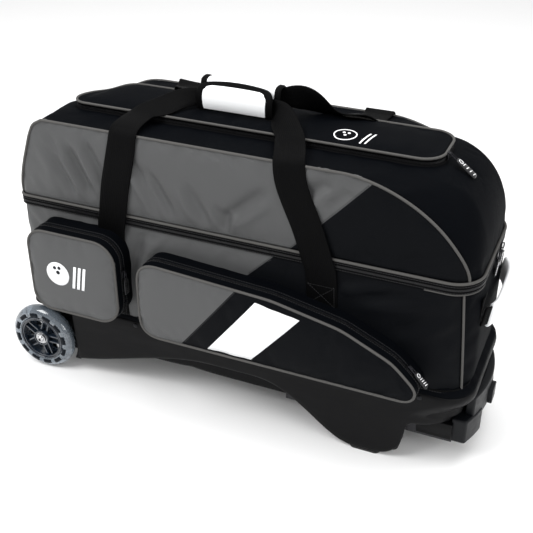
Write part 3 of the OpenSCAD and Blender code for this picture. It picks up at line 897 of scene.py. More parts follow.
def span_path(s0, s1, z, out):
    """Part of the body outline at height z, moved outwards, and its outward directions."""
    s = np.linspace(s0, s1, int((s1 - s0) / 4))
    normals = body_loop.normal(s)
    return at_height(body_loop.at(s) + normals * out, z), at_height(normals, 0)


def band_strip(name, s0, s1, profile, body, *replaced):
    """A strip round the body: profile is (z, out) pairs from its lower to its upper edge."""
    rows = [span_path(s0, s1, z, out)[0] for z, out in profile]
    strip = grid_object(name, np.array(rows), "zip_tape", outward=core(345))
    thicken(strip, 1.6, "lining", refine=0)
    return dress(strip, body, "zip_tape", *replaced)


MAIN_TOOTH, SMALL_TOOTH = (1.5, 2.0, 2.4), (1.4, 1.8, 1.9)


def main_zipper():
    s0, s1 = band_span()
    mid = BAND_SPLIT
    low_edge = [(BAND_LOW, -1.0), (BAND_LOW + 0.6, 1.6), (mid - 3.4, 2.2), (mid - 2.6, 1.1), (mid - 0.3, 0.9)]
    high_edge = [(mid + 0.3, 0.9), (mid + 2.6, 1.1), (mid + 3.4, 2.2), (SEAM_Z - 1, 1.8), (SEAM_Z, -1.2)]
    band_strip("lower_zip_band", s0, s1, low_edge, "base", "lower_zip_tape")
    band_strip("upper_zip_band", s0, s1, high_edge, "upper_case", "upper_zip_tape")
    path, out = span_path(s0, s1, mid - 0.9, 1.6)
    up = same(UP, len(path))
    dress(zip_teeth("lower_zip_teeth", path, out, up, size=MAIN_TOOTH), "base", "zip_metal")
    path[:, 2] = mid + 0.9
    teeth = zip_teeth("upper_zip_teeth", path, out, up, size=MAIN_TOOTH, shift=HALF_PITCH)
    dress(teeth, "upper_case", "zip_metal")
    low, out = span_path(s0, s1, BAND_LOW + 2.0, 2.1)
    dress(stitch_row("lower_band_stitching", low, out), "base", "zip_tape")
    high, out = span_path(s0, s1, SEAM_Z - 4.2, 2.2)
    dress(stitch_row("upper_band_stitching", high, out), "upper_case", "zip_tape")
    edge = loop_path(body_loop, SEAM_Z + 0.6, 1.2)
    dress(piping("main_piping", edge, 2.3, closed=True), "upper_case", "piping")
    garage = span_path(body_loop.near(695, -BODY_Y), body_loop.near(BODY_X1, -70), BAND_LOW - 0.8, 1.0)[0]
    dress(piping("garage_piping", garage, 1.3), "base", "piping")
    profile = ((BAND_LOW, 0.4), (BAND_LOW + 3, 1.8), (mid - 3, 2.6), (mid, 2.8), (ZIP_Z, 2.8),
               (ZIP_Z + 1.5, 2.2), (SEAM_Z, 0.6))
    rows = [span_path(s1 - 4, s0 + body_loop.total + 4, z, out)[0] for z, out in profile]
    hinge = grid_object("hinge_strip", np.array(rows), "black_fabric", outward=core(345))
    thicken(hinge, 1.6, "lining")
    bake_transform(hinge)


# ---------------------------------------------------------------- upper compartment
LEFT_PROFILE = ((0.0, -6.5), (0.085, -5.8), (0.45, 9.0), (0.79, 26.0), (0.93, 36.0), (1.0, 54.0))
QUARTER_X, QUARTER_POWER = 562.0, 1.72
FRONT_X1 = SEAM_RIGHT_TOP + 6
MID_LEFT_X, MID_RIGHT_X = 70.0, 660.0
MID_LEFT_POWER, MID_RIGHT_POWER = 2.2, 2.4
EDGE_HIGH = SHOULDER_Z - SEAM_Z
MID_HIGH = TOP_Z - SEAM_Z


def left_edge_x(share):
    """Left edge of the front panel at a share of its height: it leans, and rounds off at the top."""
    heights, places = np.array(LEFT_PROFILE).T
    return np.interp(share, heights, places)


def bow(share, power):
    """Quarter of a superellipse: 1 at the foot and 0 at the top."""
    return np.power(np.maximum(1 - share**power, 0), 1 / power)


def right_edge_x(share):
    return QUARTER_X + (FRONT_X1 - QUARTER_X) * bow(share, QUARTER_POWER)


def spaced(count, power):
    """Shares of the height that step evenly round a superellipse."""
    return np.power(np.sin(np.linspace(0, math.pi / 2, count)), 2 / power)


UPPER_CREASES = (
    ((52, 462), (108, 372), 3.4, 8), ((96, 462), (138, 372), 3.6, 8), ((66, 415), (88, 362), 2.2, 6),
    ((132, 474), (166, 400), 2.6, 8), ((30, 400), (52, 360), 1.8, 6), ((60, 480), (84, 440), 2.4, 7),
    ((222, 452), (268, 366), 2.6, 8), ((246, 442), (290, 362), 2.8, 7), ((240, 382), (268, 360), 2.0, 5),
    ((312, 430), (346, 366), 2.0, 9), ((376, 362), (384, 398), 3.4, 5), ((381, 388), (446, 446), 2.8, 9),
    ((362, 404), (378, 366), 2.0, 6), ((505, 452), (545, 478), 2.4, 9), ((545, 440), (580, 470), 2.0, 9),
    ((650, 372), (722, 386), 1.8, 10), ((585, 362), (640, 374), 1.4, 8),
)


def upper_panel(side):
    """Front or back panel of the upper compartment."""
    rows, cols = 28, 108
    share = spaced(rows, 2.2)
    grid = np.zeros((rows, cols, 3))
    for i, f in enumerate(share):
        x = np.linspace(left_edge_x(f), right_edge_x(f), cols)
        grid[i] = at_height(np.column_stack([x, side * (half_width(x) - PANEL_IN)]), SEAM_Z + EDGE_HIGH * f)
    grid = crowned(grid, (0, side, 0), 3.6, UPPER_CREASES if side < 0 else ())
    name = "upper_front_panel" if side < 0 else "upper_back_panel"
    panel = grid_object(name, grid, "upper_panel", outward=core(420))
    puff(panel, border_of(rows, cols), pressure=2.0, slack=0.014, cap=3.6)
    thicken(panel, 2.6, "lining")
    return dress(panel, "upper_case", "grey_fabric")


def edge_curves():
    """Matching stations of the gusset's edge curve and middle curve, and how high up each is."""
    left, right = spaced(18, MID_LEFT_POWER), spaced(30, 2.0)[::-1]
    edge, middle, high = [], [], []
    for f in left[:-1]:
        x = MID_LEFT_X - (MID_LEFT_X - BODY_X0 - 1) * bow(f, MID_LEFT_POWER)
        edge.append((left_edge_x(f), SEAM_Z + EDGE_HIGH * f))
        middle.append((x, SEAM_Z + MID_HIGH * f))
        high.append(f)
    for t in np.linspace(0, 1, 48):
        edge.append((left_edge_x(1.0) + (QUARTER_X - left_edge_x(1.0)) * t, SHOULDER_Z))
        middle.append((MID_LEFT_X + (MID_RIGHT_X - MID_LEFT_X) * t, TOP_Z))
        high.append(1.0)
    for f in right[1:]:
        x = MID_RIGHT_X + (BODY_X1 - 1 - MID_RIGHT_X) * bow(f, MID_RIGHT_POWER)
        edge.append((right_edge_x(f), SEAM_Z + EDGE_HIGH * f))
        middle.append((x, SEAM_Z + MID_HIGH * f))
        high.append(f)
    return np.array(edge), np.array(middle), np.array(high)


FLAT_SHARE = 0.58


def gusset_grid():
    """The long strip from the wheel end over the top to the handle end, between the two side panels."""
    edge, middle, high = edge_curves()
    across = np.linspace(-1, 1, 47)
    grid = np.zeros((len(edge), len(across), 3))
    for i, (e, m, f) in enumerate(zip(edge, middle, high)):
        y = across * (float(half_width(e[0])) - PANEL_IN)
        slope = np.power(np.clip((np.abs(across) - FLAT_SHARE) / (1 - FLAT_SHARE), 0, 1), 1.25)
        radius = BODY_R1 if e[0] > QUARTER_X else BODY_R0
        inner = np.maximum(np.abs(y) - (BODY_Y - radius), 0)
        bend = radius - np.sqrt(np.maximum(radius**2 - inner**2, 0))
        corner = bend / max(bend[0], 1e-6)
        weight = (1 - f) ** 0.8
        share = weight * corner + (1 - weight) * (0.75 * slope + 0.25 * np.abs(across) ** 3)
        grid[i, :, 0] = m[0] + (e[0] - m[0]) * share
        grid[i, :, 1] = y
        grid[i, :, 2] = m[1] + (e[1] - m[1]) * share
    return grid


def cut_hole(obj, x0, x1, half, r0, r1, z0, z1):
    """Cuts a rounded opening right through a piece."""
    ring = rounded(x0, x1, half, r0, r1, 6.0)
    verts = [(*p, z0) for p in ring] + [(*p, z1) for p in ring]
    cutter = mesh_object("cutter", verts, loft_faces(len(ring), 2), "lining")
    modified(obj, "BOOLEAN", operation="DIFFERENCE", object=cutter, solver="EXACT")
    bpy.data.objects.remove(cutter)
    return obj


LID_HOLE_IN, LID_HOLE_Y = 12.0, 8.0


def upper_case():
    panels = {side: upper_panel(side) for side in (-1, 1)}
    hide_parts("upper_body")
    grid = gusset_grid()
    rows, cols = grid.shape[:2]
    gusset = grid_object("upper_gusset", grid, ["black_fabric"], outward=core(380))
    held = border_of(rows, cols) + [i * cols + j for i in range(rows) for j in range(cols)
                                    if abs(grid[i, j, 1]) < lid_hi[1] + 4 and grid[i, j, 2] > TOP_Z - 6]
    puff(gusset, sorted(set(held)), pressure=2.0, slack=0.01, cap=3.0)
    paint_left_end(gusset, cols, 9)
    modified(gusset, "SUBSURF", levels=1, render_levels=1)
    modified(gusset, "SOLIDIFY", thickness=2.6 * MM, offset=-1, use_even_offset=False, material_offset=2)
    cut_hole(gusset, lid_lo[0] + LID_HOLE_IN, lid_hi[0] - LID_HOLE_IN, lid_hi[1] - LID_HOLE_Y, 14, 22,
             TOP_Z - 40, TOP_Z + 40)
    dress(gusset, "upper_case", "black_fabric")
    edge = edge_curves()[0]
    for side, name in ((-1, "front"), (1, "rear")):
        path = np.column_stack([edge[:, 0], side * (half_width(edge[:, 0]) - 0.6), edge[:, 1]])
        path = resampled(path, 5.0)
        dress(piping(f"panel_piping_{name}", path, 2.2), "upper_case", "piping")
    return panels


def paint_left_end(gusset, cols, rows):
    """The wheel end of the strip is grey up to the height of the side panels; the rest is black."""
    for material in ("grey_fabric", "lining", "lining"):
        gusset.data.materials.append(paint[material])
    for polygon in gusset.data.polygons:
        if polygon.index // (cols - 1) < rows:
            polygon.material_index = 1


# ---------------------------------------------------------------- lid
LID_RIM_Z = lid_lo[2] + 6.5
LID_R0, LID_R1 = 24.0, 34.0


def lid_edge_x(y, left):
    """Where the lid's rounded outline is at y, on its left or right end."""
    radius = LID_R0 if left else LID_R1
    inner = np.maximum(np.abs(y) - (lid_hi[1] - radius), 0)
    bend = radius - math.sqrt(max(radius**2 - inner**2, 0))
    return lid_lo[0] + bend if left else lid_hi[0] - bend


def lid_top():
    rows, cols = 31, 96
    grid = np.zeros((rows, cols, 3))
    for i, t in enumerate(np.sin(np.linspace(-math.pi / 2, math.pi / 2, rows))):
        y = t * (lid_hi[1] - 0.6)
        x = np.linspace(lid_edge_x(y, True) + 0.6, lid_edge_x(y, False) - 0.6, cols)
        grid[i] = at_height(np.column_stack([x, np.full(cols, y)]), LID_RIM_Z)
    grid = crowned(grid, UP, 3.0)
    top = grid_object("lid_top", grid, "black_fabric", outward=core(0))
    puff(top, border_of(rows, cols), pressure=1.5, slack=0.012, cap=3.0)
    thicken(top, 2.4, "lining")
    return dress(top, "lid_panel", "black_fabric", "lid")


def lid_parts():
    loop = Loop(rounded(lid_lo[0], lid_hi[0], lid_hi[1], LID_R0, LID_R1, 3.0))
    top = lid_top()
    split = lid_tape_hi[2] + 0.3

    def strip(name, profile, body, *replaced):
        rows = [loop_path(loop, z, out, 5.0) for z, out in profile]
        made = grid_object(name, np.array(rows), "zip_tape", outward=core(510), wrap=True)
        thicken(made, 1.5, "lining", refine=0)
        return dress(made, body, "zip_tape", *replaced)

    strip("lid_band", [(LID_RIM_Z, -0.8), (LID_RIM_Z - 0.6, 0.9), (split + 3.4, 1.2), (split + 2.6, -0.1),
                       (split + 0.2, -0.3)], "lid_panel")
    strip("lid_flange", [(split - 0.2, -0.3), (split - 2.4, -0.1), (split - 3.0, 1.4), (split - 8.5, 3.0),
                         (split - 9.5, 2.4)], "upper_case", "lid_zip_tape")
    path = loop_path(loop, split - 0.9, 0.3)
    out, up = loop_normals(loop, len(path)), same(UP, len(path))
    dress(zip_teeth("lid_flange_teeth", path, out, up, True, SMALL_TOOTH), "upper_case", "zip_metal")
    path[:, 2] = split + 0.95
    dress(zip_teeth("lid_band_teeth", path, out, up, True, SMALL_TOOTH, HALF_PITCH), "lid_panel", "zip_metal")
    edge = loop_path(loop, LID_RIM_Z + 0.4, 0.6)
    dress(piping("lid_piping", edge, 2.1, closed=True), "lid_panel", "piping")
    return top


# ---------------------------------------------------------------- surfaces to lay things on
def surface(obj):
    bm = bmesh.new()
    bm.from_mesh(obj.data)
    tree = BVHTree.FromBMesh(bm)
    bm.free()
    return tree


def laid(tree, points, direction, lift):
    """Drops design points on a surface along a direction, and lifts them off it."""
    d = Vector(direction)
    out = []
    for p in points:
        start = Vector(place(p)) - d * 0.1
        hit = tree.ray_cast(start, d)[0]
        spot = hit if hit else Vector(place(p))
        out.append((np.array(spot) - ORIGIN) / MM - np.array(direction) * lift)
    return np.array(out)


def thin_sheet(name, points, direction, material, wrap=False):
    """A 0.6 mm sheet through points that lie on a surface, facing against direction."""
    behind = points.mean((0, 1)) + np.array(direction) * 50
    sheet = grid_object(name, points, material, outward=behind, wrap=wrap)
    return modified(sheet, "SOLIDIFY", thickness=0.6 * MM, offset=-1)


PATCH_LIFT = 0.7


def patch(name, tree, corners, direction, material, plane, cells=10):
    """A thin four-cornered patch on a surface. corners are in the plane's two axes."""
    a, b, c, d = [np.array(p, float) for p in corners]
    u = np.linspace(0, 1, cells)
    flat = np.array([[(a * (1 - s) + b * s) * (1 - t) + (d * (1 - s) + c * s) * t for s in u] for t in u])
    points = np.zeros((cells, cells, 3))
    points[..., plane[0]], points[..., plane[1]] = flat[..., 0], flat[..., 1]
    rest = ({0, 1, 2} - set(plane)).pop()
    points[..., rest] = plane[2]
    placed = laid(tree, points.reshape(-1, 3), direction, PATCH_LIFT).reshape(cells, cells, 3)
    return thin_sheet(name, placed, direction, material)


def disc_patch(name, tree, centre, radius, direction, material, plane, hole=0.0, lift=PATCH_LIFT):
    """A thin disc or ring on a surface."""
    around, rings = 40, 5
    angles = turn(around)
    points = np.zeros((rings, around, 3))
    rest = ({0, 1, 2} - set(plane)).pop()
    for i, r in enumerate(np.linspace(max(hole, 0.02 * radius), radius, rings)):
        points[i, :, plane[0]] = centre[0] + r * np.cos(angles)
        points[i, :, plane[1]] = centre[1] + r * np.sin(angles)
    points[..., rest] = plane[2]
    placed = laid(tree, points.reshape(-1, 3), direction, lift).reshape(rings, around, 3)
    return thin_sheet(name, placed, direction, material, wrap=True)


# how far the far corner sinks, and where the sag starts and is full along the bag and up it
SAG, SAG_FROM, SAG_FULL = 30.0, 165.0, 50.0
SAG_Z0, SAG_Z1 = 380.0, 470.0
SOFT_TOP = ("upper_front_panel", "upper_back_panel", "upper_gusset", "panel_piping_front",
            "panel_piping_rear", "lid_top", "lid_band", "lid_flange", "lid_flange_teeth", "lid_band_teeth",
            "lid_piping")


def sag(obj):
    """The soft top gives way towards its far corner at the wheel end."""
    co = np.zeros(len(obj.data.vertices) * 3, np.float32)
    obj.data.vertices.foreach_get("co", co)
    x, y, z = ((co.reshape(-1, 3) - ORIGIN) / MM).T
    drop = (SAG * ease((SAG_FROM - x) / (SAG_FROM - SAG_FULL)) ** 2 * np.clip((y + 30) / 100, 0, 1) ** 1.3
            * ease((z - SAG_Z0) / (SAG_Z1 - SAG_Z0)))
    co[2::3] -= drop * MM
    obj.data.vertices.foreach_set("co", co)
    obj.data.update()


def lid_mark(top):
    """Embroidered outline on the lid: a plain ring with three dots, and two bars."""
    tree, down = surface(top), (0.0, 0.0, -1.0)
    plane = (0, 1, lid_hi[2] + 20)
    mark = [disc_patch("lid_ring", tree, (534, -26), 18, down, "white_thread", plane, hole=16.2)]
    for k, dot in enumerate(((530, -20), (538, -20), (534, -28))):
        mark.append(disc_patch(f"lid_dot_{k}", tree, dot, 2.3, down, "white_thread", plane))
    for x in (560, 568):
        bar = [(x, -42), (x + 2.6, -42), (x + 10, -9), (x + 7.4, -9)]
        mark.append(patch(f"lid_bar_{x}", tree, bar, down, "white_thread", plane))
    dress(joined("lid_embroidery", mark), "lid_panel", "black_fabric")


# ---------------------------------------------------------------- pockets
def left_pocket_outline():
    (x0, _, z0), (x1, _, z1) = left_lo, left_hi
    ring = rounded(0, x1 - x0, (z1 - z0) / 2, 32, 38, 3.0)
    return np.column_stack([ring[:, 0] + x0, ring[:, 1] + (z0 + z1) / 2])


def hull(points):
    """Convex hull, anticlockwise."""
    points = sorted(map(tuple, points))

    def half(seq):
        out = []
        for p in seq:
            while len(out) > 1 and ((out[-1][0] - out[-2][0]) * (p[1] - out[-2][1])
                                    - (out[-1][1] - out[-2][1]) * (p[0] - out[-2][0])) <= 0:
                out.pop()
            out.append(p)
        return out[:-1]

    return np.array(half(points) + half(points[::-1]))


# circles inside the right pocket's outline: centre as shares of its width and height, radius
NOSE_CIRCLES = ((0.060, 0.80, 28), (0.060, 0.21, 28), (0.49, 0.71, 28), (0.72, 0.55, 28), (0.88, 0.30, 28),
                (0.962, 0.13, 18))


def right_pocket_outline():
    """Teardrop: tall at the left, one long curve down to a blunt nose at the handle end."""
    (x0, _, z0), (x1, _, z1) = right_lo, right_hi
    points = []
    for u, v, r in NOSE_CIRCLES:
        cx, cz = x0 + (x1 - x0) * u, z0 + (z1 - z0) * v
        cx, cz = np.clip(cx, x0 + r, x1 - r), np.clip(cz, z0 + r, z1 - r)
        points += [(cx + r * math.cos(a), cz + r * math.sin(a)) for a in np.linspace(0, 2 * math.pi, 60)]
    ring = hull(points)
    return resampled(ring, 4.0, closed=True)


def smooth_ring(ring, passes=6):
    for _ in range(passes):
        ring = 0.5 * ring + 0.25 * (np.roll(ring, 1, 0) + np.roll(ring, -1, 0))
    return ring


def columns_in(ring, cols, rows):
    """A grid of (x, z) filling a convex ring, its columns closer together at the ends."""
    x0, x1 = ring[:, 0].min() + 0.4, ring[:, 0].max() - 0.4
    closed = np.vstack([ring, ring[:1]])
    grid = np.zeros((rows, cols, 2))
    for j, t in enumerate(np.sin(np.linspace(-math.pi / 2, math.pi / 2, cols))):
        x = (x0 + x1) / 2 + (x1 - x0) / 2 * t
        zs = []
        for (xa, za), (xb, zb) in zip(closed[:-1], closed[1:]):
            if (xa - x) * (xb - x) <= 0 and xa != xb:
                zs.append(za + (zb - za) * (x - xa) / (xb - xa))
        grid[:, j, 0] = x
        grid[:, j, 1] = np.linspace(min(zs), max(zs), rows)
    return grid


HINGE_CLEAR = 9.0


def pocket(name, ring, lo, cloth, body, cover_body, shape):
    """One zipped pocket: crowned face, piping, gusset halves on the cover and on the bag, and the coil
    between them, which leaves out the hinge side at the bottom."""
    cols, rows = shape
    face_y, split = lo[1] + 2.0, design_box(f"{name}_pocket_cover")[1][1] + 0.3
    flat = columns_in(ring, cols, rows)
    grid = np.stack([flat[..., 0], np.full(flat.shape[:2], face_y), flat[..., 1]], axis=-1)
    grid = crowned(grid, (0, -1, 0), 3.0)
    centre = ring.mean(0)
    inside = (centre[0], 0, centre[1])
    face = grid_object(f"{name}_pocket_face", grid, cloth, outward=inside)
    puff(face, border_of(rows, cols), pressure=3.0, slack=0.012, cap=4.0)
    thicken(face, 2.2, "lining")
    slot = "grey_fabric" if cloth == "grey_fabric" else "black_fabric"
    dress(face, cover_body, slot, f"{name}_pocket_cover")

    along = tangents(np.column_stack([ring, np.zeros(len(ring))]), closed=True)[:, :2]
    out = np.stack([along[:, 1], -along[:, 0]], axis=1)

    def loop3(y, off):
        p = ring + out * off
        return np.column_stack([p[:, 0], np.full(len(p), y), p[:, 1]])

    def strip(part, profile, ride_on, *replaced):
        rows3 = np.array([loop3(y, off) for y, off in profile])
        made = grid_object(part, rows3, "black_fabric", outward=inside, wrap=True)
        thicken(made, 1.8, "lining", refine=0)
        return dress(made, ride_on, "black_fabric", *replaced)

    strip(f"{name}_pocket_cover_gusset",
          [(face_y, -1.2), (face_y + 1.0, -0.2), (face_y + 5, 0.8), (split - 6, 1.2), (split - 4, 1.8),
           (split - 3.2, 0.4), (split - 0.3, 0.2)], cover_body)
    strip(f"{name}_pocket_gusset",
          [(split + 0.3, 0.2), (split + 3.2, 0.4), (split + 4, 1.8), (split + 9, 1.5), (split + 16, 1.0),
           (split + 24, 0.6), (-BODY_Y - 0.5, 1.6)], body, f"{name}_pocket_body")
    seam = loop3(face_y - 0.6, -0.4)
    dress(piping(f"{name}_pocket_piping", seam, 2.2, closed=True), cover_body, "piping")
    normals3 = np.column_stack([out[:, 0], np.zeros(len(ring)), out[:, 1]])
    back = same((0, 1, 0), len(ring))
    zipped = ring[:, 1] > ring[:, 1].min() + HINGE_CLEAR
    first = np.flatnonzero(zipped & ~np.roll(zipped, 1))[0]
    row = np.roll(np.arange(len(ring)), -first)[:zipped.sum()]
    for part, ride_on, tooth_y, shift in (("cover", cover_body, split - 0.9, 0.0),
                                          ("pocket", body, split + 0.95, HALF_PITCH)):
        teeth = zip_teeth(f"{name}_{part}_teeth", loop3(tooth_y, 0.6)[row], normals3[row], back[row],
                          size=SMALL_TOOTH, shift=shift)
        dress(teeth, ride_on, "zip_metal")
    for part, ride_on, y in (("cover", cover_body, split - 5.2), ("pocket", body, split + 5.4)):
        seam = stitch_row(f"{name}_{part}_stitching", loop3(y, 1.9), normals3, closed=True)
        dress(seam, ride_on, "zip_tape")
    return face


def pockets():
    ring = smooth_ring(left_pocket_outline(), 2)
    left = pocket("left", ring, left_lo, "grey_fabric", "base", "left_cover", (40, 36))
    ring = smooth_ring(right_pocket_outline(), 10)
    right = pocket("right", ring, right_lo, "pocket_panel", "base", "right_cover", (92, 30))
    towards = (0.0, 1.0, 0.0)
    on_left, on_right = surface(left), surface(right)
    plane = (0, 2, left_lo[1] - 12)
    ball = (92, 250)
    mark = [disc_patch("mark_ball", on_left, ball, 22, towards, "white_vinyl", plane)]
    for k, (dx, dz, radius) in enumerate(((-5, 11, 3.0), (4, 12, 3.0), (1, 3, 3.4)), 1):
        hole = (ball[0] + dx, ball[1] + dz)
        mark.append(disc_patch(f"mark_hole_{k}", on_left, hole, radius, towards, "lining", plane, lift=1.3))
    for x in (118, 127, 136):
        bar = [(x, 228), (x + 5, 228), (x + 12, 271), (x + 7, 271)]
        mark.append(patch(f"mark_bar_{x}", on_left, bar, towards, "white_vinyl", plane))
    dress(joined("pocket_badge", mark), "left_cover", "white_vinyl")
    corners = [(364.5, 170.5), (441, 170.5), (523, 268), (449, 281)]
    window = patch("pocket_reflective_panel", on_right, corners, towards, "white_vinyl", plane, cells=14)
    dress(window, "right_cover", "white_vinyl")
    (xa, za), (xb, zb) = POCKET_LINE
    t = np.linspace(0.01, 1.0, 60)
    seam = np.column_stack([xa + (xb - xa) * t + 2.2, np.full(60, plane[2]), za + (zb - za) * t])
    seam = laid(on_right, seam, towards, 0.3)
    dress(stitch_row("pocket_seam_stitching", seam, same((0, -1, 0), 60)), "right_cover", "black_fabric")


def panel_seams(front_upper, front_lower):
    """Top-stitching beside the leaning seam between the grey and the black cloth."""
    towards = (0.0, 1.0, 0.0)
    for name, sheet, (a, b), span, body in (
        ("upper_seam_stitching", front_upper, UPPER_LINE, (0.02, 1.0), "upper_case"),
        ("lower_seam_stitching", front_lower, LOWER_LINE, (-0.5, 1.0), "base"),
    ):
        t = np.linspace(*span, 50)
        x, z = a[0] + (b[0] - a[0]) * t - 2.4, a[1] + (b[1] - a[1]) * t
        seam = laid(surface(sheet), np.column_stack([x, np.full(50, -BODY_Y - 20), z]), towards, 0.3)
        dress(stitch_row(name, seam, same((0, -1, 0), 50)), body, "grey_fabric")


# ---------------------------------------------------------------- carry straps
STRAP_MID = 355.0
WEB_W = 50.0
# a strap is sewn on from its foot up to STRAP_SEWN, and folds at PIVOT_Z when a compartment opens
STRAP_FOOT, STRAP_SEWN, PIVOT_Z = rim_hi[2] + 10, 318.0, 345.0
# X of each strap's centre line at the heights of strap_line(), left and right of the grip
FRONT_RUN = ((165, 166, 170, 175, 186, 197, 203, 206, 207, 211, 217, 236, 266),
             (545, 543, 538, 532, 514, 496, 486, 481, 475, 462, 455, 443, 426))
REAR_RUN = ((165, 166, 169, 174, 184, 196, 201, 205, 210, 220, 228, 244, 270),
            (545, 545, 545, 545, 545, 545, 545, 545, 545, 542, 534, 494, 448))
FRONT_TURN = ((-3, 0.6, 0.62), (-5, 0.5, 0.76))
REAR_TURN = ((-14, 2.5, 0.6), (3, 0.15, 0.86))


def strap_line(side, run, turn, grip_y, grip_z):
    """Centre points, outer normals and width shares of a strap, from its left foot over the grip to its
    right foot. turn is how much higher, how flat and how wide it leaves the grip at each end."""
    wall, over = BODY_Y + 5.4, lid_hi[1]
    flat = 0.0 if side < 0 else 1.0
    # distance from the centre plane, height, the normal's outward and upward parts, width share
    levels = ((BODY_Y + 3.4, STRAP_FOOT, 1, 0, 1), (wall, STRAP_FOOT + 70, 1, 0, 1),
              (wall, STRAP_SEWN, 1, 0, 1), (wall + 0.8, PIVOT_Z, 1, 0, 1), (wall + 2.8, 402, 1, 0, 1),
              (wall + 3.2, 446, 1, 0.05, 1), (wall + 1.6, SHOULDER_Z - 22, 1, 0.2, 1),
              (BODY_Y + 1.2, SHOULDER_Z + 4.6, 0.8, 0.9, 0.97),
              (BODY_Y - 17, SHOULDER_Z + 12.5 - 8.5 * flat, 0.35, 1, 0.94),
              (over + 14, SHOULDER_Z + 16.5 - 9.5 * flat, 0.25, 1, 0.9),
              (over + 1, lid_hi[2] + 4.6 - flat, 0.4, 1, 0.86),
              (over - 15, lid_hi[2] + 9.0 - 3 * flat, 0.6, 1, 0.86))
    ends = []
    for row, (rise, lean, share) in zip(run, turn):
        stations = (*levels, ((side * 30 + grip_y) / 2 * side, grip_z + rise, 1, lean, share))
        ends.append([((x, side * y, z), (0, side * n, m), w) for x, (y, z, n, m, w) in zip(row, stations)])
    grip = [((STRAP_MID + k, grip_y, grip_z), (0, side, 0), 0.5) for k in (-48, 0, 48)]
    return ends[0] + grip + ends[1][::-1]


def carry_strap(name, side, run, turn, grip_y, grip_z, body, *replaced):
    """A carry strap: sewn to the wall below, free above the main zipper, and running through the grip."""
    line = strap_line(side, run, turn, grip_y, grip_z)
    points = np.array([p for p, n, w in line], float)
    normals = unit(np.array([n for p, n, w in line], float))
    across = unit(np.cross(normals, tangents(points)))
    shares = np.array([[w] for p, n, w in line])
    strap = ribbon(name, np.hstack([points, across, shares]), WEB_W, 2.4)
    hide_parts(*replaced)
    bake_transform(strap)
    half, low, top = 21.0, STRAP_FOOT + 4, 306.0
    bar = top - 34
    box = np.array([(-half, low), (half, low), (half, top), (-half, top), (half, bar), (-half, bar),
                    (half, top), (-half, top)])
    for word, row in zip(("left", "right"), run):
        lean = (row[2] - row[0]) / (STRAP_SEWN - STRAP_FOOT)
        x = row[0] + box[:, 0] + lean * (box[:, 1] - STRAP_FOOT)
        path = np.column_stack([x, np.full(len(box), side * (BODY_Y + 6.6)), box[:, 1]])
        dense = resampled(np.hstack([path, same((0, side, 0), len(box))]), 2.0)
        stitches = stitch_row(f"{name}_box_stitch_{word}", dense[:, :3], dense[:, 3:], material="dark_thread")
        dress(stitches, "base", "webbing")


def wrap_flap():
    """The front half of the grip: a white padded flap with rounded top corners, bound in black."""
    x0, x1, front, top = wrap_lo[0] + 1, wrap_hi[0] - 12, wrap_lo[1], wrap_hi[2] + 2
    side_view = [(front - 1.0, wrap_lo[2] + 5), (front - 3.2, wrap_lo[2] + 16), (front - 2.4, top - 13),
                 (front + 2.2, top - 2.5), (front + 10.0, top + 2.0)]
    line = smooth_path(at_height(side_view, 0), 2.0)[:, :2]
    rows, cols, radius = len(line), 40, 17.0
    down = lengths(line)
    near_top = np.clip(radius - (down[-1] - down), 0, radius)
    corner = radius - np.sqrt(radius**2 - near_top**2)
    grid = np.zeros((rows, cols, 3))
    arch = 1 - np.linspace(-1, 1, cols) ** 2
    for i in range(rows):
        grid[i, :, 0] = np.linspace(x0 + corner[i], x1 - corner[i], cols)
        grid[i, :, 1:] = line[i]
        grid[i, :, 2] += 3.0 * arch * ease(i / (rows - 1))
    grid[..., 1] -= 2.0 * np.power(arch * np.sin(np.linspace(0, math.pi, rows))[:, None], 0.6)
    flap = grid_object("wrap_flap_panel", grid, "white_vinyl", outward=((x0 + x1) / 2, front + 30, 525))
    thicken(flap, 3.4, "white_vinyl")
    dress(flap, "front_carry", "white_vinyl", "wrap_flap")
    edge = np.vstack([grid[:, 0], grid[-1, 1:-1], grid[::-1, -1]])
    slope = np.gradient(line, axis=0)
    facing = unit(np.column_stack([np.zeros(rows), -slope[:, 1], slope[:, 0]]))
    normal = np.vstack([facing, np.tile(facing[-1], (cols - 2, 1)), facing[::-1]])
    dense = resampled(np.hstack([edge, normal]), 2.5)
    edge, normal = dense[:, :3], dense[:, 3:]
    across = np.cross(tangents(edge), normal)
    strip = sweep("wrap_flap_binding", edge - normal * 1.2, across, flat_section(12, 6.4), "webbing")
    dress(strip, "front_carry", "webbing")


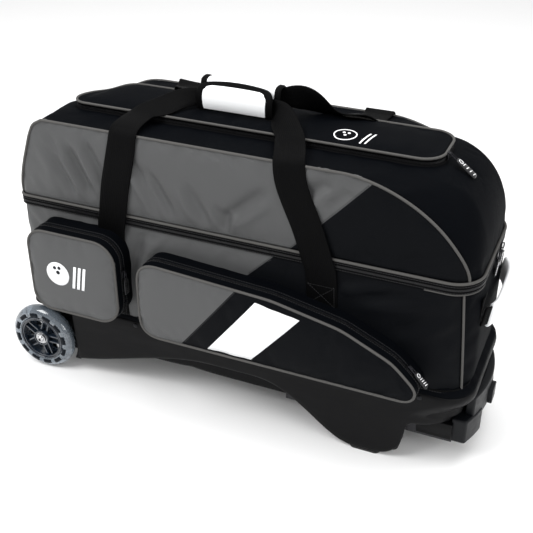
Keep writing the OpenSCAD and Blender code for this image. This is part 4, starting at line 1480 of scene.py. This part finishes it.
def wrap_sleeve():
    """The rear half of the grip: a white padded sleeve round both straps, its ends bound in black."""
    x0, x1 = wrap_lo[0] - 2, wrap_hi[0] - 3
    y0, y1, z0, z1 = pad_lo[1] - 6, pad_hi[1] + 2, pad_lo[2] - 3, pad_hi[2] + 8
    mid = (y0 + y1) / 2
    ring = [(y0 + 3, z0 + 1), (y0, z0 + 12), (y0 + 4, z1 - 4), (mid - 4, z1 - 0.2), (mid + 6, z1 - 0.8),
            (y1 - 2, z1 - 7), (y1, z0 + 12), (y1 - 4, z0 + 2), (mid, z0)]
    loop = smooth_path(at_height(ring, 0), 2.5, closed=True)[:, :2]
    grid = np.array([[(x, y, z) for y, z in loop] for x in np.linspace(x0, x1, 30)])
    grid[..., 2] += 3.0 * (1 - np.linspace(-1, 1, 30) ** 2)[:, None]
    middle = ((x0 + x1) / 2, mid, (z0 + z1) / 2)
    pad = grid_object("wrap_pad_sleeve", grid, "white_vinyl", outward=middle, wrap=True)
    thicken(pad, 2.6, "lining")
    dress(pad, "rear_carry", "white_vinyl", "wrap_pad")
    for part, x in (("left", x0 + 1.5), ("right", x1 - 1.5)):
        path = np.column_stack([np.full(len(loop), x), loop])
        strip = sweep(f"wrap_pad_binding_{part}", path, same((1, 0, 0), len(path)), flat_section(10, 4.6),
                      "webbing", closed=True)
        dress(strip, "rear_carry", "webbing")


def straps():
    carry_strap("front_carry_strap", -1, FRONT_RUN, FRONT_TURN, wrap_lo[1] + 9, 534.0,
                "front_carry", "front_strap", "front_strap_base")
    carry_strap("rear_carry_strap", 1, REAR_RUN, REAR_TURN, (pad_lo[1] + pad_hi[1]) / 2, 540.0,
                "rear_carry", "rear_strap", "rear_strap_base")
    wrap_flap()
    wrap_sleeve()


# ---------------------------------------------------------------- end grab handle
def end_handle():
    """Webbing tabs, the loop between them and its white wrap, on the handle end."""
    lo, hi = design_box("end_handle_tabs")
    loop_lo, loop_hi = design_box("end_handle_loop")
    wrap_hi_y = design_box("end_handle_wrap")[1][1]
    mid_z = (loop_lo[2] + loop_hi[2]) / 2
    face = lo[0] + 1.6
    tabs, stitches = [], []
    for y in (-66, 66):
        tab = [(face - 0.4, y, lo[2] - 18, 0, 1, 0), (face + 0.6, y, lo[2], 0, 1, 0),
               (face + 1.6, y, hi[2], 0, 1, 0)]
        tabs.append(ribbon(f"tab_{y}", tab, 32, 2.2, 4))
        for z in (lo[2] - 12, lo[2] - 2):
            path = np.array([(face + 2.4, y - 13, z), (face + 2.4, y + 13, z)])
            stitches.append(stitch_row(f"tab_stitch_{y}_{z}", path, same((1, 0, 0), 2)))
    dress(joined("end_handle_tab_pair", tabs), "base", "webbing", "end_handle_tabs")
    dress(joined("end_handle_stitching", stitches), "base", "webbing")
    reach = loop_hi[0] - loop_lo[0] - 4

    def arch(y, out=0.0):
        """A point of the handle at y: it stands out and hangs a little towards the middle."""
        x = face + 3 + reach * (1 - (abs(y) / 80) ** 5)
        return x + out, y, mid_z - 3 * (x - face) / reach

    stations = [(*arch(y), 0.12, 0, 1) for y in (-78, -72, -64, -50, -25, 0, 25, 50, 64, 72, 78)]
    loop = ribbon("end_handle_strap", stations, 34, 2.6, 4)
    dress(loop, "end_handle", "webbing", "end_handle_loop")
    half = wrap_hi_y + 13
    section = [(-21, -1.2), (-18.9, -3.4), (-6.3, -4.2), (6.3, -4.2), (18.9, -3.4), (21, -1.2),
               (21, 1.2), (18.9, 3.6), (6.3, 4.6), (-6.3, 4.6), (-18.9, 3.6), (-21, 1.2)]
    path = np.array([arch(y, 0.4) for y in np.linspace(-half, half + 12, 34)])
    cover = sweep("end_handle_cover", path, same((0.12, 0, 1), len(path)), section, "white_vinyl")
    dress(cover, "end_handle", "white_vinyl", "end_handle_wrap")


# ---------------------------------------------------------------- moulded base
WHEEL_Z = 63.5
SKIRT_X0, FOOT_X0, FOOT_X1 = 72.0, 600.0, 684.0
ARCH_X0, ARCH_X1, ARCH_Z = 345.0, 410.0, 95.0
HEEL_Z, TOE_Z, FOOT_Z = 31.0, 81.0, 4.5
WELL_R, FOOT_R = 71.5, 46.0
WAIST_Z = 96.0


def skirt_low(x):
    """Height of the base's lower edge: over the wheel, down, up into the arch, down to the foot, and up."""
    well = max(rim_hi[2] - 22, WHEEL_Z + math.sqrt(max(WELL_R**2 - x**2, 0)))
    if x < SKIRT_X0 - 3:
        return well
    if x < SKIRT_X0 + 1:
        return well + (HEEL_Z - well) * ease((x - SKIRT_X0 + 3) / 4)
    if x < ARCH_X0:
        t = (x - SKIRT_X0 - 1) / (ARCH_X0 - SKIRT_X0 - 1)
        return HEEL_Z + (ARCH_Z - HEEL_Z) * (0.5 * math.sin(math.pi / 2 * t) + 0.5 * ease(t))
    if x < ARCH_X1:
        return ARCH_Z
    if x < FOOT_X0:
        return ARCH_Z + (FOOT_Z - ARCH_Z) * ease(((x - ARCH_X1) / (FOOT_X0 - ARCH_X1)) ** 1.3)
    if x < FOOT_X1 - FOOT_R:
        return FOOT_Z
    if x < FOOT_X1:
        return FOOT_Z + FOOT_R - math.sqrt(FOOT_R**2 - (x - FOOT_X1 + FOOT_R) ** 2)
    return FOOT_Z + FOOT_R + (TOE_Z - FOOT_Z - FOOT_R) * ease((x - FOOT_X1) / 7)


def plan_ring(x0, x1, half, r0, r1, side_x):
    """Plan outline with fixed counts, so that rings of different sizes match. side_x are shares of the
    long side."""
    q = math.pi / 2

    def arc(cx, cy, r, a0):
        turns = np.linspace(a0, a0 + q, 18, endpoint=False)
        return [(cx + r * math.cos(a), cy + r * math.sin(a)) for a in turns]

    xs = [x0 + r0 + (x1 - r1 - x0 - r0) * t for t in side_x]
    end = np.linspace(0, 1, 16, endpoint=False)
    front = [(x, -half) for x in xs[:-1]]
    right = [(x1, r1 - half + 2 * (half - r1) * t) for t in end]
    back = [(x, half) for x in xs[:0:-1]]
    left = [(x0, half - r0 - 2 * (half - r0) * t) for t in end]
    return np.array(front + arc(x1 - r1, r1 - half, r1, -q) + right + arc(x1 - r1, half - r1, r1, 0) + back
                    + arc(x0 + r0, half - r0, r0, q) + left + arc(x0 + r0, r0 - half, r0, 2 * q))


def base_shell():
    """Outer wall, rim, lower edge and inner wall of the moulded base, lofted round the plan."""
    x0, x1, y1 = rim_lo[0], rim_hi[0] - 3, rim_hi[1]
    fine = np.concatenate([np.linspace(*span) for span in ((0, 0.062, 6), (0.066, 0.09, 16), (0.10, 0.79, 96),
                                                           (0.795, 1.0, 40))])
    rim = plan_ring(x0, x1, y1, 18, 52, fine)
    low = plan_ring(x0, x1 - 12, y1 - 2.5, 18, 92, fine)
    along = unit(np.roll(rim, -1, 0) - np.roll(rim, 1, 0))
    inward = np.stack([-along[:, 1], along[:, 0]], axis=1)
    columns = []
    for r, l, n in zip(rim, low, inward):
        bottom = skirt_low(l[0])
        top = rim_hi[2]
        inset = 8.0 + 22.0 * (1 - ease((r[0] - 74) / 10)) + 10.0 * ease((r[0] - 720) / 40)
        thick = 9.0 + 30.0 * float(ease((l[0] - 520) / 60) * (1 - ease((l[0] - 676) / 12)))
        deck = max(92.0, bottom + 6)
        points = [(r + n * inset, 100.0), (r + n * inset, top - 4), (r + n * (inset - 2), top),
                  (r + n * 4.6, top), (r + n * 2.2, top - 0.8), (r + n * 0.6, top - 2.6), (r, top - 5.4)]
        wall = np.linspace(top - 8, bottom + 5, 16)
        for z in wall:
            t = float(ease((z - WAIST_Z) / (top - 8 - WAIST_Z)))
            belly = 1.6 * math.sin(math.pi * min(max((z - bottom) / (top - bottom), 0), 1))
            points.append((l + (r - l) * t - n * belly, z))
        foot = wall[-1]
        t = float(ease((foot - WAIST_Z) / (top - 8 - WAIST_Z)))
        edge = l + (r - l) * t
        points += [(edge + n * 0.6, bottom + 2.2), (edge + n * 2.4, bottom + 0.5), (edge + n * 4.6, bottom),
                   (edge + n * (thick - 2), bottom), (edge + n * thick, bottom + 2), (edge + n * thick, deck)]
        columns.append([(p[0], p[1], z) for p, z in points])
    grid = np.array(columns).transpose(1, 0, 2)
    shell = grid_object("base_shell", grid, "base_plastic", wrap=True)
    face_away(shell, core(90))
    return shell


def plate(name, ring, z0, z1, material, chamfer):
    """A flat plate from a plan ring, chamfered unless chamfer is 0."""
    centre = ring.mean(0)

    def shrink(amount):
        d = ring - centre
        return centre + d * (1 - amount / np.maximum(np.linalg.norm(d, axis=1, keepdims=True), 1e-6))

    levels = [(shrink(chamfer), z0), (ring, z0 + chamfer), (ring, z1 - chamfer), (shrink(chamfer), z1)]
    levels = levels if chamfer else levels[::3]
    verts = [(*p, z) for r, z in levels for p in r]
    return mesh_object(name, verts, loft_faces(len(ring), len(levels)), material, smooth=False)


def heel_tip(side):
    """The lower front corner of the wheel well, which follows the tyre."""
    arc = [(WELL_R * math.cos(a), WHEEL_Z + WELL_R * math.sin(a)) for a in np.linspace(-0.46, 0.3, 8)]
    outline = arc + [(SKIRT_X0 + 3, WHEEL_Z + 21), (SKIRT_X0 + 3, HEEL_Z), (66.0, HEEL_Z)]
    verts = [(x, side * y, z) for y in (112.0, 122.8) for x, z in outline]
    faces = loft_faces(len(outline), 2)
    tip = mesh_object(f"heel_tip_{side}", verts, faces, "base_plastic", smooth=False)
    face_away(tip, (70, side * 117, 50))
    return tip


def moulded_base():
    blocks = (
        ("deck", rounded(78, rim_hi[0] - 22, rim_hi[1] - 9, 6, 84, 8.0), 92, 100, 1.5),
        ("tub_floor", rounded(rim_lo[0] + 6, 120, 96, 12, 6, 8.0), 92, 100, 1.5),
        ("housing", rounded(rim_lo[0] + 3, SKIRT_X0 + 6, 97, 16, 6, 6.0), 42, 146, 4),
        ("heel", rounded(38, SKIRT_X0 + 6, 99, 10, 4, 6.0), HEEL_Z - 1, 96, 3),
    )
    parts = [base_shell()] + [plate(word, ring, z0, z1, "base_plastic", chamfer)
                              for word, ring, z0, z1, chamfer in blocks]
    for side in (-1, 1):
        channel = rounded(SKIRT_X0, 508, 14, 3, 3, 8.0) + np.array([0, side * 83])
        parts.append(plate(f"channel_{side}", channel, 56, 96, "base_plastic", 4.0))
        parts.append(heel_tip(side))
        cheek = rounded(594, 676, 24, 8, 8, 6.0) + np.array([0, side * 92])
        parts.append(plate(f"foot_{side}", cheek, 12, 94, "base_plastic", 2))
    base = joined("base_moulding", parts)
    modified(base, "WELD", merge_threshold=0.00002)
    dress(base, "base", "base_plastic", "base_tray")
    foot_binding()
    rivets = []
    for side in (-1, 1):
        for i in range(12):
            centre = (90 + i * 56, side * (rim_hi[1] + 0.2), rim_hi[2] - 8)
            rivets.append(dome(f"rivet_{side}_{i}", centre, (0, side, 0), 4.2, 1.8, "handle_plastic"))
    dress(joined("rim_rivet_heads", rivets), "base", "handle_plastic", "rim_rivets")


def foot_binding():
    """The gathered black binding at the foot of the cloth, which covers the ledge of the moulding."""
    share = np.linspace(0, 1, 180)
    outer = plan_ring(rim_lo[0] + 2.2, rim_hi[0] - 4.2, rim_hi[1] - 2.2, 16, 50, share)
    inner = plan_ring(BODY_X0 + 1.5, BODY_X1 - 1.5, BODY_Y - 1.5, BODY_R0, BODY_R1, share)
    s = np.arange(len(outer))
    gather = 0.8 * np.sin(s * 1.9) * np.sin(s * 0.37) + 0.5 * np.sin(s * 0.83)
    rows = []
    for t, z in ((0.0, -1.2), (0.0, 1.4), (0.12, 4.0), (0.4, 7.0), (0.7, 9.6), (1.0, 13.0)):
        heights = rim_hi[2] + z + gather * (0.2 if t == 0 else 0.9)
        rows.append(np.column_stack([outer * (1 - t) + inner * t, heights]))
    binding = grid_object("foot_binding", np.array(rows), "black_fabric", outward=core(150), wrap=True)
    thicken(binding, 1.2, "lining")
    dress(binding, "base", "black_fabric")


def dome(name, centre, axis, radius, height, material, around=20):
    """A low round head, standing out along an axis."""
    axis = unit(np.array(axis, float))
    side = unit(np.cross(axis, (0.3, 0.2, 0.9)))
    other = np.cross(axis, side)
    levels = [(1.0, -0.6), (1.0, 0.15), (0.86, 0.62), (0.6, 0.88), (0.25, 1.0)]
    a = turn(around)[:, None]
    spokes = radius * (np.cos(a) * side + np.sin(a) * other)
    verts = np.vstack([np.array(centre) + spokes * share + axis * high * height for share, high in levels])
    return mesh_object(name, verts, loft_faces(around, len(levels))[:-1], material)


# ---------------------------------------------------------------- wheels
# slots in each side of a tyre, drawn as near-black sheets of painted shade: how many, their share of the
# pitch, and (radius, depth) across one
SLOTS, SLOT_SHARE = 12, 0.62
SLOT_SECTION = ((47.0, 12.5), (47.2, 15.35), (50.5, 15.1), (53.8, 14.1), (54.0, 11.5))


def tyre(word, centre):
    """The tyre as one smooth ring on the hub: a round tread over short walls."""
    lo, hi = design_box(f"{word}_tyre")
    hub_lo, hub_hi = design_box(f"{word}_hub")
    outer, half, inner = (hi[0] - lo[0]) / 2, (hi[1] - lo[1]) / 2, (hub_hi[0] - hub_lo[0]) / 2
    crown = 13.5
    walls = [(half * math.cos(a), outer - crown + crown * math.sin(a)) for a in np.linspace(0, math.pi, 33)]
    profile = [(-12.0, inner), (12.0, inner), (13.5, inner + 3)] + walls + [(-13.5, inner + 3)]
    a = turn(128)
    path = centre + outer * np.column_stack([np.cos(a), np.zeros(128), np.sin(a)])
    section = [(y, outer - r) for y, r in profile]
    ring = sweep(f"{word}_tyre_cast", path, same((0, 1, 0), 128), section, "tyre_pu", closed=True)
    face_away(ring, centre)
    dress(ring, f"{word}_wheel", slot_of[f"{word}_tyre"], f"{word}_tyre")


def wheel(word):
    """The tyre, its ring of slots drawn as near-black sheets of painted shade, and the hub's raised rings."""
    body = f"{word}_wheel"
    lo, hi = design_box(f"{word}_tyre")
    y = (lo[1] + hi[1]) / 2
    centre = np.array([(lo[0] + hi[0]) / 2, y, (lo[2] + hi[2]) / 2])
    tyre(word, centre)
    slots = []
    for face in (-1, 1):
        for k, a0 in enumerate(turn(SLOTS)):
            arc = np.linspace(a0, a0 + 2 * math.pi / SLOTS * SLOT_SHARE, 6)
            spokes = np.column_stack([np.cos(arc), np.zeros(6), np.sin(arc)])
            ring = np.array([centre + r * spokes + (0, face * depth, 0) for r, depth in SLOT_SECTION])
            # each slot is a near-black sheet on the tyre wall, painted shade of the opening
            slots.append(grid_object(f"slot_{face}_{k}", ring, "tyre_slot", outward=centre))
            modified(slots[-1], "SOLIDIFY", thickness=1.0 * MM, offset=0)
    dress(joined(f"{word}_wheel_slots", slots), body, "hub_plastic")
    rings = []
    for face in (-1, 1):
        for radius, depth, thick in ((42.8, 12.8, 1.5), (38.8, 12.2, 0.9), (14.0, 12.8, 1.3)):
            a = turn(72)
            spokes = np.column_stack([np.cos(a), np.zeros(72), np.sin(a)])
            path = centre + radius * spokes + (0, face * depth, 0)
            rings.append(piping(f"ring_{face}_{radius}", path, thick, closed=True, material="hub_plastic"))
    dress(joined(f"{word}_wheel_rings", rings), body, "hub_plastic")


def axle_ends():
    lo, hi = design_box("axle_nuts")
    caps = []
    for side, y in ((-1, lo[1]), (1, hi[1])):
        # the small dark dome on top of each silver cap is painted shade, standing for the hollow in the
        # axle's end
        for out, radius, height, material, around in ((-1.6, 9.4, 1.4, "tube_steel", 28),
                                                      (-0.4, 6.4, 4.2, "axle_steel", 24),
                                                      (3.2, 2.8, 1.4, "tube_steel", 16)):
            centre = (0, y + side * out, WHEEL_Z)
            caps.append(dome(f"cap_{side}_{around}", centre, (0, side, 0), radius, height, material, around))
    dress(joined("axle_caps", caps), "base", "axle_steel")


# ---------------------------------------------------------------- zipper sliders and pulls
def turned(points, about, rows):
    return np.array(about) + np.asarray(points, float) @ np.array(rows, float)


def slider_and_pull(slider, pull, at, rows, tilt, length=38.0, wide=13.0, white=True):
    """A cast slider with its bridge, and its pull: a wire, a neck and a moulded tab. rows turns local X
    (across), Y (into the cloth) and Z (up) into the frame; tilt swings the pull about the bridge."""
    wing = [(-4.2, 6.5), (-4.8, 2), (-3.4, -6.5), (3.4, -6.5), (4.8, 2), (4.2, 6.5)]
    verts = turned([(x, y, z) for y in (-0.2, -2.6) for x, z in wing], at, rows)
    faces = [face[::-1] for face in loft_faces(len(wing), 2)]
    cast = mesh_object("slider_plate", verts, faces, "zip_metal", smooth=False)
    modified(cast, "BEVEL", width=0.5 * MM, segments=2)
    bridge = [(0, -2.0, -4.6), (0, -4.9, -3.6), (0, -5.6, 0), (0, -5.4, 3.4), (0, -2.0, 5.2)]
    path = turned(smooth_path(np.array(bridge), 1.0), at, rows)
    arm = sweep("slider_bridge", path, same(rows[0], len(path)), flat_section(3.2, 1.1, 3), "zip_metal")
    dress(joined(slider + "_cast", [cast, arm]), body_of[slider], "zip_metal", slider)

    hinge = np.array([0.0, -5.0, 4.0])
    c, s = math.cos(math.radians(tilt)), math.sin(math.radians(tilt))
    swing = np.array([[1, 0, 0], [0, c, s], [0, -s, c]])

    def lay(points):
        return turned((np.asarray(points, float) - hinge) @ swing + hinge, at, rows)

    wire = np.array([(-2.6, -5.2, 4), (-2.6, -5.2, -6), (-2.0, -5.2, -11), (0, -5.2, -12.2),
                     (2.0, -5.2, -11), (2.6, -5.2, -6), (2.6, -5.2, 4), (0, -5.2, 5.0)])
    wire = lay(smooth_path(wire, 1.2, closed=True))
    parts = [piping("pull_wire", wire, 0.75, closed=True, material="zip_metal")]
    w = wide / 2
    half = [(0.5 * w, -9), (0.85 * w, -12), (w, -17), (w, -length + 5), (0.7 * w, -length)]
    outline = [(-x, z) for x, z in half] + half[::-1]
    ring = smooth_path(at_height(outline, 0), 1.5, closed=True)[:, :2]
    middle = ring.mean(0)
    levels = [(0.86, -6.9), (1.0, -6.2), (1.0, -4.6), (0.86, -4.0)]
    verts = np.vstack([at_height(middle + (ring - middle) * share, y) for share, y in levels])[:, [0, 2, 1]]
    parts.append(mesh_object("pull_tab", lay(verts), loft_faces(len(ring), len(levels)), "zip_plastic"))
    face_away(parts[-1], lay([(middle[0], -5.4, middle[1])])[0])
    raised = "white_thread" if white else "zip_plastic"
    a = turn(20)
    dot = lay(np.column_stack([0.5 * w * np.cos(a), np.full(20, -7.0), 0.5 * w * np.sin(a) - 15.5]))
    parts.append(piping("pull_dot", dot, 0.5, closed=True, material=raised))
    for k, z in enumerate(np.linspace(-21, -length + 5, 4)):
        row = lay([(-0.55 * w, -6.95, z), (0.55 * w, -6.95, z - 2.0)])
        parts.append(sweep(f"pull_bar_{k}", row, transported(row), circle_section(0.75, 6), raised))
    dress(joined(pull + "_tab", parts), body_of[pull], "zip_metal", pull)


def sliders():
    end = [[0, 1, 0], [-1, 0, 0], [0, 0, 1]]
    nose_tilt = math.radians(44)
    c, s = math.cos(nose_tilt), math.sin(nose_tilt)
    lean = [[0, 1, 0], [-c, 0, -s], [-s, 0, c]]
    split = left_hi[1] + 0.3
    slider_and_pull("main_slider_front", "main_pull_front", (BODY_X1 + 3.0, 0, BAND_SPLIT + 3), end, 6)
    slider_and_pull("main_slider_rear", "main_pull_rear", (BODY_X1 + 3.0, 34, BAND_SPLIT + 3), end, 6)
    lid_z = lid_tape_hi[2] + 3
    slider_and_pull("lid_slider", "lid_pull", (lid_hi[0] + 1.4, -20, lid_z), end, -52, 46, 14.5)
    slider_and_pull("left_pocket_slider", "left_pocket_pull", (left_hi[0] + 1.6, split, 262), end, 0,
                    white=False)
    slider_and_pull("right_pocket_slider", "right_pocket_pull", (690.8, split, 209), lean, 0)


# ---------------------------------------------------------------- pull handle and what is inside
HANDLE_BOW = 20.0


def bowed(y, out=0.0):
    """Outer face of the pull handle at y: it bows out to the middle of the bar."""
    hi = design_box("handle_grip")[1]
    return hi[0] + out - HANDLE_BOW * (y / hi[1]) ** 2


def rounded_off(obj, radius, segments):
    return modified(obj, "BEVEL", width=radius * MM, segments=segments, limit_method="ANGLE", angle_limit=0.7)


def pull_handle():
    """The bowed crossbar and the two solid blocks that join it to the tubes."""
    lo, hi = design_box("handle_grip")
    ys = np.linspace(lo[1] + 20, hi[1] - 20, 40)
    ring = np.array([(bowed(y), y) for y in ys] + [(bowed(y) - 14, y) for y in ys[::-1]])
    bar = plate("handle_crossbar", ring, lo[2] + 2, hi[2] + 1, "handle_plastic", 0)
    rounded_off(bar, 5, 4)
    dress(bar, "pull_handle", "handle_plastic", "handle_grip")
    for word, side in (("front", -1), ("rear", 1)):
        block_lo, block_hi = design_box(f"{word}_handle_block")
        ys = np.linspace(42, hi[1], 12) * side
        face = [(bowed(y, 2.0), y) for y in ys]
        ring = np.array(face + [(block_lo[0] - 8, ys[-1]), (block_lo[0] - 8, ys[0])])
        ring = ring if side > 0 else ring[::-1]
        block = plate(f"{word}_block", ring, block_lo[2] + 1, block_hi[2] + 15, "handle_plastic", 0)
        rounded_off(block, 6, 5)
        dress(block, "pull_handle", "handle_plastic", f"{word}_handle_block")


def trimmed(obj, axis, limit, side):
    """Draws back what stands beyond a limit: side 1 for the high end of the axis, -1 for the low end."""
    bound = limit * MM + ORIGIN[axis]
    for v in obj.data.vertices:
        v.co[axis] = min(v.co[axis], bound) if side > 0 else max(v.co[axis], bound)
    return obj


def handle_and_inside():
    pull_handle()
    for word in ("front", "rear"):
        softened(f"{word}_outer_tube", 0.8)
        held = design_box(f"{word}_handle_block")[0][0] + 6
        trimmed(softened(f"{word}_inner_tube", 0.8), 0, held, 1)
    softened("release_button", 1.6, 3)
    trimmed(softened("tube_collars", 1.4), 2, design_box("tube_collars")[0][2] + 12, -1)
    screws = softened("tube_screws", 0.3, 1)
    under = (design_box("tube_collars")[0][2] + 11) * MM
    screws.data.materials[0] = paint["tube_steel"]
    for v in screws.data.vertices:
        v.co[2] += 12 * MM if v.co[2] < under else 0.0
    softened("foot_skids", 0.8)
    softened("floor_board", 0.8)
    for n in ("left", "middle", "right"):
        softened(f"ball_cup_{n}", 1.2)
    for n in ("left", "right"):
        softened(f"ball_divider_{n}", 3.0, 3)
    softened("upper_floor", 1.2)


def paint_cad():
    """Materials for the CAD nodes that stay, by their slot in the record."""
    for name, obj in nodes.items():
        if obj.hide_render:
            continue
        obj.data.materials.clear()
        obj.data.materials.append(paint[slot_of[name]])


make_stage()
walls = lower_walls()
main_zipper()
panels = upper_case()
lid_mark(lid_parts())
for name in SOFT_TOP:
    sag(bpy.data.objects[name])
pockets()
panel_seams(panels[-1], walls["lower_front_panel"])
straps()
end_handle()
moulded_base()
for word in ("front", "rear"):
    wheel(word)
axle_ends()
sliders()
handle_and_inside()
paint_cad()
